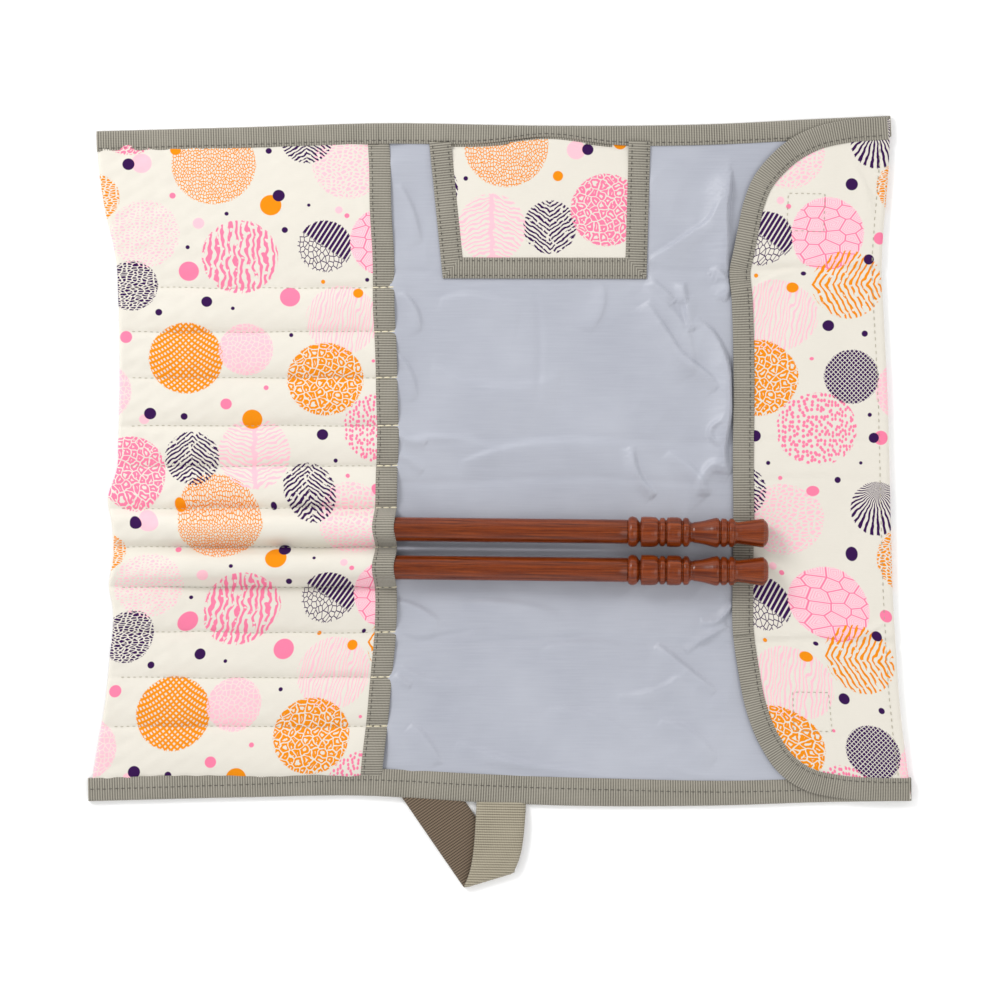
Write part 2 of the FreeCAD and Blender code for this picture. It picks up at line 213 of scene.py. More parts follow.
# ---- shader building ----
class Shader:
    """A material's node tree, with short calls for the nodes it uses."""

    def __init__(self, name):
        self.material = bpy.data.materials.new(name)
        self.material.use_nodes = True
        self.tree = self.material.node_tree
        self.out = self.tree.nodes["Principled BSDF"]

    def node(self, kind, inputs=(), output=0, **settings):
        node = self.tree.nodes.new("ShaderNode" + kind)
        for key, value in settings.items():
            setattr(node, key, value)
        for key, value in dict(inputs).items():
            self.feed(node.inputs[key], value)
        return node.outputs[output]

    def feed(self, socket, value):
        if isinstance(value, bpy.types.NodeSocket):
            self.tree.links.new(value, socket)
        else:
            socket.default_value = value

    def math(self, operation, a, b=0.0, c=0.0):
        return self.node("Math", {0: a, 1: b, 2: c}, operation=operation)

    def wave(self, run, pitch):
        return self.math("SINE", self.math("MULTIPLY", run, TAU / pitch))

    def vector(self, operation, a, b=(0, 0, 0), c=(0, 0, 0), output=0):
        return self.node("VectorMath", {0: a, 1: b, 2: c}, output, operation=operation)

    def stretched(self, vector, x, y):
        return self.vector("MULTIPLY", vector, (x, y, 1.0))

    def scaled(self, vector, factor):
        return self.node("VectorMath", {0: vector, "Scale": factor}, operation="SCALE")

    def cloth(self):
        """The flat cloth coordinates, in millimetres."""
        return self.scaled(self.node("UVMap", uv_map="cloth"), 1 / MM)

    def ramp(self, value, low, high, to_low=0.0, to_high=1.0):
        feeds = {0: value, 1: low, 2: high, 3: to_low, 4: to_high}
        return self.node("MapRange", feeds, clamp=True)

    def mix(self, share, a, b):
        return self.node("Mix", {0: share, 6: a, 7: b}, output=2, data_type="RGBA")

    def noise(self, vector, scale, detail=2.0, distortion=0.0):
        feeds = {"Vector": vector, "Scale": scale, "Detail": detail, "Distortion": distortion}
        return self.node("TexNoise", feeds)

    def cells(self, vector, scale, feature="DISTANCE_TO_EDGE", randomness=1.0):
        feeds = {"Vector": vector, "Scale": scale, "Randomness": randomness}
        return self.node("TexVoronoi", feeds, voronoi_dimensions="2D", feature=feature)

    def split(self, vector):
        node = self.tree.nodes.new("ShaderNodeSeparateXYZ")
        self.feed(node.inputs[0], vector)
        return node.outputs[0], node.outputs[1]

    def finish(self, colour, roughness, height=None, distance=0.0001, **inputs):
        self.feed(self.out.inputs["Base Color"], colour)
        self.feed(self.out.inputs["Roughness"], roughness)
        for key, value in inputs.items():
            self.feed(self.out.inputs[key.replace("_", " ")], value)
        if height is not None:
            bump = self.node("Bump", {"Height": height, "Strength": 0.6, "Distance": distance})
            self.feed(self.out.inputs["Normal"], bump)
        return self.material


def rgb(red, green, blue):
    """A display colour (0 to 255) as the linear colour that nodes use."""
    def linear(c):
        c /= 255
        return c / 12.92 if c <= 0.04045 else ((c + 0.055) / 1.055) ** 2.4

    return linear(red), linear(green), linear(blue), 1.0


def darker(colour, share):
    """A linear colour at a share of its brightness."""
    return tuple(c * share for c in colour[:3]) + (1,)


# ---- the printed cotton ----
WHITE = rgb(220, 215, 204)
PALE, PINK, BLUSH = rgb(244, 188, 200), rgb(238, 124, 158), rgb(243, 199, 208)
ORANGE, PURPLE = rgb(231, 137, 14), rgb(52, 18, 74)
TILE = 182.5
# Printed discs: place across and down the repeat, radius (mm), ink, pattern
DISCS = [
    (107, 23.5, 21, ORANGE, "contours"), (72.5, 60, 17.5, PALE, "dashes"), (66, 87, 13, PURPLE, "spots"),
    (120, 72, 19, PINK, "maze"), (162.5, 66.5, 13.5, PURPLE, "quills"), (10.5, 64, 18, BLUSH, "plain"),
    (10.5, 64, 18, PINK, "tortoise"), (174, 24, 17.5, PALE, "flakes"), (93, 125, 18.5, ORANGE, "scales"),
    (123, 120.5, 13.5, PALE, "patches"), (171, 105, 18, PALE, "strokes"),
    (162.5, 136, 19, ORANGE, "rosettes"), (50, 142.5, 15.5, PALE, "patches"),
    (65, 1, 17.5, PINK, "rosettes"), (96, 177, 13.5, PURPLE, "leaves"), (127, 174.5, 18, PALE, "tree"),
    (7, 161.5, 18, PINK, "dots"), (153.5, 10, 13, PURPLE, "leaves"), (35, 18.5, 13, PURPLE, "burst"),
    (47.5, 41, 12.5, ORANGE, "spots"), (21, 89.5, 17, ORANGE, "plume"), (22.5, 135.5, 13.5, PURPLE, "beads"),
]
# Printed dots: place and radius (mm), ink
DOTS = [
    (71, 23, 5, PALE), (64.5, 23.5, 3, PURPLE), (86.5, 40, 1.5, PINK), (94.5, 79.5, 5, PINK),
    (145, 93, 5, PINK), (63, 114, 3, PINK), (133, 140.5, 1.2, PINK), (113, 149, 2.8, PINK),
    (4.5, 10, 2.5, PINK), (173.5, 50.5, 1.2, PINK), (36.5, 66.5, 3, PINK), (99.5, 54.5, 2.8, PALE),
    (169.5, 47.5, 1.8, PALE), (72, 157, 2.5, PALE), (4, 126.5, 0.8, PINK), (173.5, 3.5, 1, PINK),
    (135.5, 45, 5.3, ORANGE), (161.5, 85, 1, ORANGE), (179, 91, 2.5, ORANGE), (126, 157, 5, ORANGE),
    (88, 16, 2.7, ORANGE), (139.5, 40, 3, PURPLE), (113.5, 49.5, 1, PURPLE), (94, 67, 1, PURPLE),
    (142.5, 58, 1.5, PURPLE), (154.5, 45, 0.8, PURPLE), (1, 84, 1, PURPLE), (103.5, 95.5, 2.7, PURPLE),
    (79.5, 101, 1.7, PURPLE), (116.5, 99, 0.9, PURPLE), (145.5, 113, 1, PURPLE), (75, 154, 3, PURPLE),
    (92, 155.5, 1.7, PURPLE), (161, 165, 2.8, PURPLE), (167.5, 178.5, 1, PURPLE),
    (134.5, 16.5, 1.5, PURPLE), (22.5, 39.5, 3, PURPLE), (31, 77, 2.5, PURPLE), (11, 110, 2.7, PURPLE),
    (29, 114, 1.5, PURPLE), (31.5, 154.5, 1, PURPLE), (27, 178.5, 0.8, PURPLE), (15.5, 4.5, 1.5, PURPLE),
    (37, 166, 3.5, PINK), (33.5, 166, 2.5, PURPLE),
]
# The print on the small pocket, by place on the case (mm): its cloth is turned the other way up
POCKET_DISCS = [
    (3.1, 177.1, 21, ORANGE, "contours"), (24.9, 136.2, 13.3, PURPLE, "leaves"),
    (-4.2, 135.8, 17, PALE, "tree"), (53.3, 144.8, 18, PINK, "rosettes"),
    (-34.5, 155.4, 13.5, PURPLE, "quills"),
]
POCKET_DOTS = [
    (38, 174.6, 4.6, PALE), (43.8, 174.9, 2.8, PURPLE), (28.9, 161.6, 2.5, ORANGE),
    (-17.1, 160.5, 1.1, PURPLE), (60, 178.5, 3.4, ORANGE),
]


def warped(s, p, size, amount):
    """Coordinates pushed about by smooth noise."""
    push = s.node("TexNoise", {"Vector": s.scaled(p, 1 / size), "Scale": 1.0, "Detail": 1.0}, output=1)
    push = s.vector("SUBTRACT", push, (0.5, 0.5, 0.5))
    return s.vector("ADD", p, s.scaled(push, 2 * amount))


def stripes(s, run, pitch, low=0.0, high=0.3):
    """Bands across a running value."""
    return s.ramp(s.wave(run, pitch), low, high)


def broken(s, p, mask, scale=0.32, low=0.4, high=0.45):
    """A pattern cut into short lengths by noise."""
    return s.math("MULTIPLY", mask, s.ramp(s.noise(p, scale, 1.0), low, high))


def ink_cells(s, p, scale, edge, soft, wide=1.0, tall=1.0):
    """Filled cells with clear lines between."""
    return s.ramp(s.cells(s.stretched(p, wide, tall), scale), edge - soft, edge + soft)


def ink_maze(s, p):
    """Upright stripes that wander and break up."""
    x, _ = s.split(warped(s, p, 7.0, 3.4))
    return broken(s, p, stripes(s, x, 3.1, -0.25, 0.0), 0.3, 0.37, 0.41)


def ink_strokes(s, p):
    """Fine upright hairs."""
    x, y = s.split(warped(s, s.stretched(p, 1.0, 0.4), 5.0, 2.2))
    return stripes(s, s.math("MULTIPLY_ADD", y, 0.5, x), 1.7, 0.05, 0.4)


def ink_leaves(s, p):
    """Short leaf strokes that slant away from a middle line."""
    x, y = s.split(warped(s, p, 4.0, 1.1))
    run = s.math("MULTIPLY_ADD", s.math("ABSOLUTE", x), -0.75, y)
    return broken(s, p, stripes(s, run, 2.3, -0.1, 0.2), 0.42, 0.36, 0.41)


def ink_plume(s, p):
    """Strokes that lean away above and below a level middle line."""
    x, y = s.split(warped(s, p, 5.0, 1.4))
    run = s.math("MULTIPLY_ADD", s.math("ABSOLUTE", y), -0.55, x)
    return broken(s, p, stripes(s, run, 2.9, 0.1, 0.35), 0.3, 0.36, 0.4)


def ink_tree(s, p):
    """Branches that leave a trunk."""
    x, y = s.split(warped(s, p, 5.0, 2.2))
    away = s.math("ABSOLUTE", x)
    branch = stripes(s, s.math("MULTIPLY_ADD", away, 0.4, y), 2.3, 0.0, 0.3)
    return s.math("MAXIMUM", branch, s.ramp(away, 1.6, 1.2))


def ink_quills(s, p):
    """Dark quills over the top corner and outlined scales under them."""
    x, y = s.split(p)
    quill = stripes(s, s.math("MULTIPLY_ADD", y, 0.55, s.math("MULTIPLY", x, 0.9)), 2.3, -0.55, -0.3)
    scale = s.ramp(s.cells(s.stretched(p, 1.0, 0.7), 0.5), 0.11, 0.06)
    over = s.ramp(s.math("SUBTRACT", s.math("MULTIPLY", x, 0.7), y), -1.2, 0.2)
    under = s.math("MULTIPLY", s.math("SUBTRACT", 1.0, over), scale)
    return s.math("ADD", s.math("MULTIPLY", over, quill), under)


def ink_tortoise(s, p):
    """Shell plates with fine rings inside each."""
    plate = s.cells(s.stretched(p, 0.8, 1.1), 0.15, randomness=0.6)
    ring = s.ramp(s.math("SINE", s.math("MULTIPLY", plate, 52.0)), 0.2, 0.8, 0.0, 0.5)
    return s.math("MAXIMUM", s.ramp(plate, 0.06, 0.035), ring)


def ink_rosettes(s, p):
    """Leopard spots: blotches, open rings and broken rings."""
    cell = s.cells(warped(s, p, 3.5, 1.3), 0.27)
    middle = s.ramp(s.math("MULTIPLY_ADD", s.noise(p, 0.25, 1.0), 0.3, cell), 0.5, 0.53)
    ring = s.math("MULTIPLY", s.ramp(cell, 0.06, 0.09), s.math("SUBTRACT", 1.0, middle))
    return broken(s, p, ring, 0.42, 0.3, 0.34)


def ink_net(s, p, pitch, bend, low=0.86, high=0.6):
    """Rows of overlapping scales."""
    x, y = s.split(warped(s, p, 9.0, 0.9))
    bent = s.math("MULTIPLY_ADD", s.math("MULTIPLY", x, x), bend, y)
    lines = [s.math("ABSOLUTE", s.wave(s.math(lean, x, bent), 2 * pitch)) for lean in ("ADD", "SUBTRACT")]
    return s.ramp(s.math("MINIMUM", *lines), low, high)


def ink_burst(s, p):
    """Strokes that spread from one edge of the disc."""
    x, y = s.split(warped(s, p, 4.0, 0.8))
    turn = s.math("ARCTAN2", x, s.math("ADD", y, 9.0))
    return stripes(s, turn, 0.16, -0.1, 0.25)


INKS = {
    "plain": lambda s, p: 1.0,
    "contours": lambda s, p: s.ramp(s.cells(s.stretched(p, 1.2, 0.85), 0.66), 0.17, 0.11),
    "dashes": lambda s, p: ink_cells(s, p, 0.6, 0.22, 0.04, 0.68, 1.1),
    "spots": lambda s, p: ink_cells(s, warped(s, p, 3.0, 0.5), 0.6, 0.15, 0.04, 0.6, 1.35),
    "flakes": lambda s, p: ink_cells(s, warped(s, p, 4.0, 1.0), 0.46, 0.17, 0.03, 0.8, 1.15),
    "maze": ink_maze, "strokes": ink_strokes, "leaves": ink_leaves, "plume": ink_plume, "tree": ink_tree,
    "quills": ink_quills, "tortoise": ink_tortoise, "rosettes": ink_rosettes, "burst": ink_burst,
    "scales": lambda s, p: ink_net(s, p, 3.0, 0.02),
    "beads": lambda s, p: s.math("SUBTRACT", 1.0, ink_net(s, p, 2.3, 0.0, 0.4, 0.22)),
    "patches": lambda s, p: ink_cells(s, p, 0.42, 0.07, 0.03),
    "dots": lambda s, p: s.ramp(s.cells(s.stretched(p, 1.15, 0.8), 0.5, "F1", 0.8), 0.4, 0.33),
}


def printed_cotton(name, discs, dots, repeat=TILE):
    """White plain-weave cotton with patterned discs and small dots, over and over at the repeat."""
    s = Shader(name)
    flat = s.cloth()
    colour = WHITE
    half, back = (repeat / 2,) * 3, (-repeat / 2,) * 3
    rough = s.noise(flat, 1.3, 2.0)
    for x, y, radius, ink, *pattern in discs + dots:
        place = s.vector("WRAP", s.vector("SUBTRACT", flat, (x, y, 0)), half, back)
        far = s.vector("LENGTH", place, output=1)
        if pattern:
            inside = s.ramp(s.math("MULTIPLY_ADD", rough, 1.6, far), radius + 1.0, radius + 0.6)
            inside = s.math("MULTIPLY", inside, INKS[pattern[0]](s, place))
        else:
            inside = s.ramp(far, radius + 0.2, radius - 0.1)
        colour = s.mix(inside, colour, ink)
    x, y = s.split(flat)
    weave = s.math("MULTIPLY", s.wave(x, 0.55), s.wave(y, 0.55))
    slub = s.noise(s.stretched(flat, 0.25, 3.0), 1.0, 2.0)
    # painted shade in the weave's hollows, following the weave's bump, together with a real change of tone
    # along the slubs
    shade = s.ramp(s.math("ADD", s.math("MULTIPLY", weave, 0.15), slub), 0.2, 0.9, 0.965, 1.0)
    shaded_and_slubbed = s.node("Mix", {0: 1.0, 6: colour, 7: s.node("CombineColor", {0: shade, 1: shade, 2: shade})},
                    output=2, data_type="RGBA", blend_type="MULTIPLY")
    height = s.math("ADD", s.math("MULTIPLY", weave, 0.5), slub)
    return s.finish(shaded_and_slubbed, 0.9, height, 0.00008, Specular_IOR_Level=0.12)


def satin():
    """Grey-blue satin: a soft gloss, faint slubs and a fine weave."""
    s = Shader("satin_lining")
    flat = s.cloth()
    slub = s.noise(s.stretched(flat, 0.05, 1.4), 1.0, 3.0)
    cloud = s.noise(flat, 0.02, 3.0)
    colour = s.mix(s.ramp(cloud, 0.3, 0.7), rgb(160, 163, 174), rgb(171, 174, 184))
    colour = s.mix(s.ramp(slub, 0.35, 0.75, 0.0, 0.25), colour, rgb(184, 187, 196))
    x, y = s.split(flat)
    threads = s.wave(s.math("ADD", x, s.math("MULTIPLY", y, 3.0)), 1.1)
    height = s.math("MULTIPLY_ADD", threads, 0.12, slub)
    rough = s.ramp(slub, 0.3, 0.8, 0.42, 0.52)
    return s.finish(colour, rough, height, 0.00004, Sheen_Weight=0.1, Sheen_Roughness=0.4,
                    Specular_IOR_Level=0.5)


def ribbed(name, dark, light, weave, shaded_face_end=None):
    """Ribbed tape: ribs across its length, threads along it, painted light on the ribs' crowns and painted
    shade in their hollows, and painted shade, darker and browner, over one face up to a place round it.
    """
    s = Shader(name)
    flat = s.cloth()
    x, y = s.split(flat)
    fuzz = s.noise(s.stretched(flat, 1.0, 0.6), 1.8, 3.0)
    ribs = s.math("MULTIPLY_ADD", fuzz, 0.4, s.wave(x, RIB_PITCH))
    height = s.math("MULTIPLY_ADD", s.wave(y, weave), 0.25, ribs)
    # painted light and shade: the colour runs from the dark colour in the ribs' hollows to the light one on
    # their crowns, following the bump
    crown = s.ramp(height, -0.9, 1.2)
    colour = s.mix(crown, dark, light)
    patch = s.noise(flat, 0.05, 2.0)
    colour = s.mix(s.ramp(patch, 0.35, 0.7, 0.0, 0.25), colour, light)
    # painted shade: the face that lies on top in the strap's lower leg, under the fold, is darker and
    # browner up to this place round the band
    if shaded_face_end:
        shaded_brown = s.mix(crown, rgb(58, 48, 38), rgb(126, 108, 88))
        colour = s.mix(s.ramp(y, shaded_face_end, shaded_face_end - 0.3), colour, shaded_brown)
    return s.finish(colour, 0.82, height, 0.00012, Sheen_Weight=0.25, Specular_IOR_Level=0.3)


def thread(name, colour):
    """Twisted sewing thread."""
    s = Shader(name)
    twist = s.noise(s.node("TexCoord", output=3), 2500.0, 2.0)
    return s.finish(s.mix(twist, colour, darker(colour, 0.8)), 0.7, twist, 0.00005, Sheen_Weight=0.2)


def wood(name, dark, light, end):
    """Polished reddish hardwood: long grain, fine pores and slow colour change, under a clear polish."""
    s = Shader(name)
    flat = s.cloth()
    grain = s.noise(s.stretched(flat, 0.035, 0.9), 1.0, 5.0, 0.4)
    pores = s.noise(s.stretched(flat, 0.18, 4.5), 1.0, 3.0)
    cloud = s.noise(s.stretched(flat, 0.03, 0.12), 1.0, 2.0)
    colour = s.mix(s.ramp(grain, 0.36, 0.64), dark, light)
    colour = s.mix(s.ramp(cloud, 0.4, 0.7, 0.0, 0.6), colour, end)
    colour = s.mix(s.ramp(pores, 0.58, 0.72, 0.0, 0.65), colour, darker(dark, 0.35))
    return s.finish(colour, s.ramp(pores, 0.4, 0.8, 0.26, 0.42), pores, 0.00006,
                    Coat_Weight=0.2, Coat_Roughness=0.15, Specular_IOR_Level=0.25)


def pile(name, colour):
    """Hook-and-loop tape, with painted shade in the hollows between its tufts."""
    s = Shader(name)
    tuft = s.cells(s.node("TexCoord", output=3), 1400.0, "F1")
    # painted shade: darker away from each tuft's middle, where the bump is low
    shade = s.mix(s.ramp(tuft, 0.0, 0.7), colour, darker(colour, 0.55))
    return s.finish(shade, 0.9, s.math("SUBTRACT", 1.0, tuft), 0.0004, Sheen_Weight=0.5)


COTTON = printed_cotton("printed_cotton", DISCS, DOTS)
POCKET_COTTON = printed_cotton("pocket_cotton", POCKET_DISCS, POCKET_DOTS, 400.0)
SATIN = satin()
# Each tape's first colour is its painted shade in the rib hollows, and its second is the painted light on
# the rib crowns and its lighter patches
TAPE = ribbed("binding_tape", rgb(90, 86, 76), rgb(161, 156, 144), 0.7)
# the webbing's last number is where its painted shaded face ends round the band
WEBBING = ribbed("webbing", rgb(106, 98, 82), rgb(172, 164, 144), 0.9, 25.2)
CREAM = thread("cream_thread", rgb(236, 226, 196))
SEAM_THREAD = thread("seam_thread", rgb(176, 170, 148))
GREY = thread("grey_thread", rgb(78, 74, 66))
WOOD = wood("needle_wood", rgb(78, 27, 4), rgb(130, 57, 13), rgb(110, 42, 8))
HANDLE = wood("handle_wood", rgb(84, 28, 3), rgb(136, 60, 14), rgb(114, 42, 6))
PILE = pile("hook_and_loop", rgb(222, 218, 206))


# ---- the pocket panel's shape ----
PANEL_LOW, PANEL_HIGH = -156.0, 192.0


def panel_profile(pitch=0.9):
    """The panel's line across the pockets, from bottom to top: place and height."""
    # seams that the needles lift, and each filled pocket's needle: where its middle lies
    lifts = {-43.5: 2.0, -23.5: 4.3, -4.0: 2.0}
    needles = {(-43.5, -23.5): (-32.9, 8.9), (-23.5, -4.0): (-13.9, 8.9)}
    line, radius = [], 7.2
    stops = [PANEL_LOW, POCKET_ENDS[0]] + SEAMS + [POCKET_ENDS[1], PANEL_HIGH]
    for low, high in zip(stops, stops[1:]):
        count = max(int((high - low) / pitch), 6)
        t = np.linspace(0, 1, count + 1)[:-1]
        if (low, high) in needles:
            centre = needles[low, high]
            ends = [(low, BASE + CLOTH + lifts[low]), (high, BASE + CLOTH + lifts[high])]
            touch = []
            for (y, z), side in zip(ends, (-1, 1)):
                dy, dz = y - centre[0], z - centre[1]
                lean = math.acos(min(radius / math.hypot(dy, dz), 1))
                touch.append(math.atan2(dz, dy) % TAU + side * lean)
            angles = np.linspace(touch[0], touch[1] - TAU, 24)
            arch = [(centre[0] + radius * math.cos(a), centre[1] + radius * math.sin(a)) for a in angles]
            dense = np.array([ends[0]] + arch + [ends[1]])
            line += even(dense, pitch)[0][:-1].tolist()
        else:
            wide = high - low
            puff = 2.6 if wide < 35 else 2.0
            if low < POCKET_ENDS[0] or high > POCKET_ENDS[1]:
                puff = 0.0
            rise = lifts.get(low, 0) * (1 - step(0, 1, t)) + lifts.get(high, 0) * step(0, 1, t)
            crown = np.sin(np.pi * t) ** 0.62
            line += list(zip(low + wide * t, BASE + CLOTH + rise + puff * crown))
    return np.array(line + [(stops[-1], BASE + CLOTH)])


# How the print runs down the panel, and how far it leans sideways: place on the case, then in the print
PRINT_DOWN = [(-150.5, 351), (-117.6, 318.5), (-76.8, 278), (-53, 254.5), (-28.7, 227.5), (-12, 206),
              (5, 193), (21.2, 177), (190, 0)]
PRINT_LEAN = [(-150, -8.5), (-105, -6), (-68, -2.2), (-53, 1.8), (-12, 4.2), (12, 0.5), (190, 0)]


def seam_nearness(y):
    """1 on a seam, falling to 0 a few millimetres away."""
    gaps = np.min(np.abs(np.asarray(y)[..., None] - np.array(SEAMS)), axis=-1)
    return bump(gaps, 0, 2.2)


def panel_grid():
    """Points and cloth coordinates of the whole pocket panel, and where its rows lie."""
    y, z = panel_profile().T
    left = curve_at(LEFT_EDGE, y)
    right = curve_at(MOUTH, y) - 1.0
    share = np.concatenate([[0, 0.0022, 0.006, 0.012, 0.02], np.linspace(0.03, 1, 96)])
    x = left[:, None] + (right - left)[:, None] * share[None, :]
    yy, zz = (np.broadcast_to(a[:, None], x.shape).copy() for a in (y, z))
    # the pockets flatten towards the left fold, and the needles' points leave the cloth lower there
    from_left = x - left[:, None]
    full = 0.35 + 0.65 * step(4, 45, from_left)
    zz = BASE + CLOTH + (zz - BASE - CLOTH) * full
    low_end, high_end = POCKET_ENDS
    above = np.clip((y - high_end) / (PANEL_HIGH - high_end), 0, 1)[:, None]
    below = np.clip((low_end - y) / (low_end - PANEL_LOW), 0, 1)[:, None]
    yy = np.where(above > 0, high_end + above * (curve_at(TOP_EDGE, x) - 0.9 - high_end), yy)
    yy = np.where(below > 0, low_end - below * (low_end - curve_at(BOTTOM_EDGE, x) - 0.9), yy)
    calm = 1 - np.clip(3 * np.maximum(above, below), 0, 1)
    near = seam_nearness(y)[:, None]
    pucker = smooth_noise(x, yy, 9.0, 3) * 0.28 * (0.35 + 0.65 * bump(from_left, 0, 60))
    calm = calm * step(1.0, 9.0, right[:, None] - x)
    zz += calm * (1 - near) * (0.45 * smooth_noise(x, yy, 42.0, 4) + pucker)
    zz += calm * near * (0.12 * np.sin(x * TAU / 3.4) - 0.3)
    yy += 0.35 * calm * smooth_noise(x, yy, 30.0, 8) * near
    # round over at the left fold
    edge = np.clip(1 - from_left / 2.2, 0, 1)
    zz = zz - (zz - 0.7) * (1 - np.sqrt(np.clip(1 - edge**2, 0, 1)))
    points = np.stack([x, yy, zz], axis=2)
    down = np.interp(y, *zip(*PRINT_DOWN))[:, None]
    across = x + 250.0 - np.interp(y, *zip(*PRINT_LEAN))[:, None]
    uv = np.stack(np.broadcast_arrays(across, down), axis=2)
    return points, uv, y


def half_rows(y, half):
    """The rows of a grid in the upper or the lower half, both halves sharing the row nearest the split."""
    k = int(np.argmin(np.abs(y - SPLIT)))
    return slice(k, None) if half == "upper" else slice(0, k + 1)


def bend_over(piece):
    """Bake the placement of a piece of the upper or lower half into its mesh."""
    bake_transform(piece)


def laid_cloth(name, points, uv, y, thickness, material, stands_for, flats):
    """A cloth laid in two halves that share a row."""
    normals = grid_normals(points)
    for half, nodes, flat in zip(("upper", "lower"), stands_for, flats):
        rows = half_rows(y, half)
        piece = cloth_sheet(f"{name}_{half}", points[rows], normals[rows], uv[rows], thickness, material)
        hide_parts(*nodes)
        bend_over(piece)


def pocket_panels():
    """The stitched panel."""
    points, uv, y = panel_grid()
    stands_for = ["upper_pocket_panel", "top_pocket_panel"], ["needle_pocket_panel", "bottom_pocket_panel"]
    flats = (0.180, 0.136), (0.190, 0.137)
    laid_cloth("pocket_panel", points, uv, y, CLOTH, COTTON, stands_for, flats)


# ---- satin lining and outer cloth ----
# Soft folds in the satin: start, end, sideways bow, width, height. A positive width is steep on the left.
FOLDS = [
    ((72, 105), (96, 62), 8, 8.0, 1.2), ((84, 24), (104, 2), 3, 7.0, 1.4),
    ((58, -98), (96, -84), -4, 7.0, 1.2), ((-50, -82), (-10, -92), -4, 6.0, 1.2),
    ((20, -76), (60, -72), 3, 8.0, 1.0), ((-34, 68), (30, 60), -9, 14.0, 1.3),
    ((-30, 100), (10, 92), 5, 9.0, 1.0), ((-20, 18), (60, 26), 6, 9.0, 1.2),
    ((-48, 30), (0, 24), 4, 6.0, 1.0), ((-50, 158), (-40, 128), 2, 4.0, 1.3),
    ((-49, 104), (-40, 84), 3, 4.0, 1.6), ((-52, 74), (-42, 50), 3, 4.0, 1.3),
    ((52, 108), (44, 84), 3, 6.0, 1.0), ((80, -110), (108, -130), 4, 7.0, 1.3),
    ((24, -104), (70, -122), 5, 8.0, 1.0), ((84, -132), (112, -138), -2, 4.0, 1.2),
    ((-56, -50), (-30, -62), 3, 5.0, 1.2), ((-20, -52), (30, -58), 3, 8.0, 1.0),
]
# Sharp creases: the line, how wide it slopes on its left and on its right, and its height
CREASES = [
    ([(73.5, 119.5), (83.5, 125.5), (97, 134.5), (103.5, 139), (110, 150)], 1.0, 6.0, 1.8),
    ([(123, 167), (118, 157), (114, 152), (113, 143), (113.7, 130), (113, 117), (114, 109)], 1.3, 9.0, 3.6),
    ([(104, 114), (109, 114.5), (112.5, 111), (113.7, 106), (112, 99)], 1.0, 5.0, 2.0),
    ([(74, 111), (81, 105.5), (88, 99)], 1.0, 4.0, 1.5),
    ([(91.5, 109.5), (92, 104), (92.5, 98)], 1.2, 4.0, 1.6),
    ([(73, 99.5), (83.5, 83.5), (90.5, 73), (103.5, 62.5), (109, 55.5)], 1.3, 6.0, 2.6),
    ([(97, 91), (105.5, 84.5), (111, 75), (114, 65), (115, 53), (114.6, 43), (113, 33), (112, 25),
      (113, 13)], 1.1, 8.0, 3.4),
    ([(92.5, 102), (93.5, 92), (94.5, 84)], 4.5, 1.0, 2.0),
    ([(113, 41.5), (105, 35), (105.5, 31), (111, 28)], 1.2, 1.2, 1.1),
    ([(66, 27), (67.5, 17.5), (70.5, 10.5), (78, 2)], 1.1, 4.5, 1.8),
    ([(116, 14), (107, 18), (101, 11), (100, 2)], 5.0, 2.0, 1.5),
    ([(78, -72), (92, -83), (108, -96)], 1.3, 3.5, 1.8),
    ([(99, -62), (107, -61), (117, -51)], 3.0, 1.3, 1.8),
    ([(92, -76), (104, -68), (114, -62)], 3.5, 1.3, 1.5),
    ([(-22, -121), (10, -132), (45, -137), (62, -140)], 1.6, 5.0, 1.7),
    ([(-52, -66), (-43, -69.5), (-25, -67), (-13, -65)], 1.4, 3.0, -0.9),
    ([(-45, -111.5), (-38, -118), (-33, -125), (-29.5, -132)], 1.5, 6.0, 1.5),
    ([(-53, -87), (-49, -90), (-44, -93)], 1.5, 2.0, 1.0),
    ([(-52, 34), (-45, 30), (-36, 29)], 1.5, 3.0, 1.0), ([(-52, 24), (-44, 20), (-38, 14)], 1.5, 3.0, 0.9),
    ([(18, 107), (20, 76), (18.5, 46)], 2.0, 2.0, -0.4),
]


def fold_height(x, y, start, end, bow, width, height):
    """A soft ridge along a bowed line, steep on one side."""
    (x0, y0), (x1, y1) = start, end
    length = math.hypot(x1 - x0, y1 - y0)
    dx, dy = (x1 - x0) / length, (y1 - y0) / length
    along = ((x - x0) * dx + (y - y0) * dy) / length
    middle = along * (1 - along) * 4
    across = (-(x - x0) * dy + (y - y0) * dx - bow * middle) * math.copysign(1, width)
    fade = np.clip(middle, 0, 1) ** 0.6
    wide = abs(width) * (0.5 + 0.5 * np.clip(along, 0, 1))
    steep, gentle = 0.3, 1.3
    return height * fade * bump(across, 0, wide * np.where(across > 0, steep, gentle))


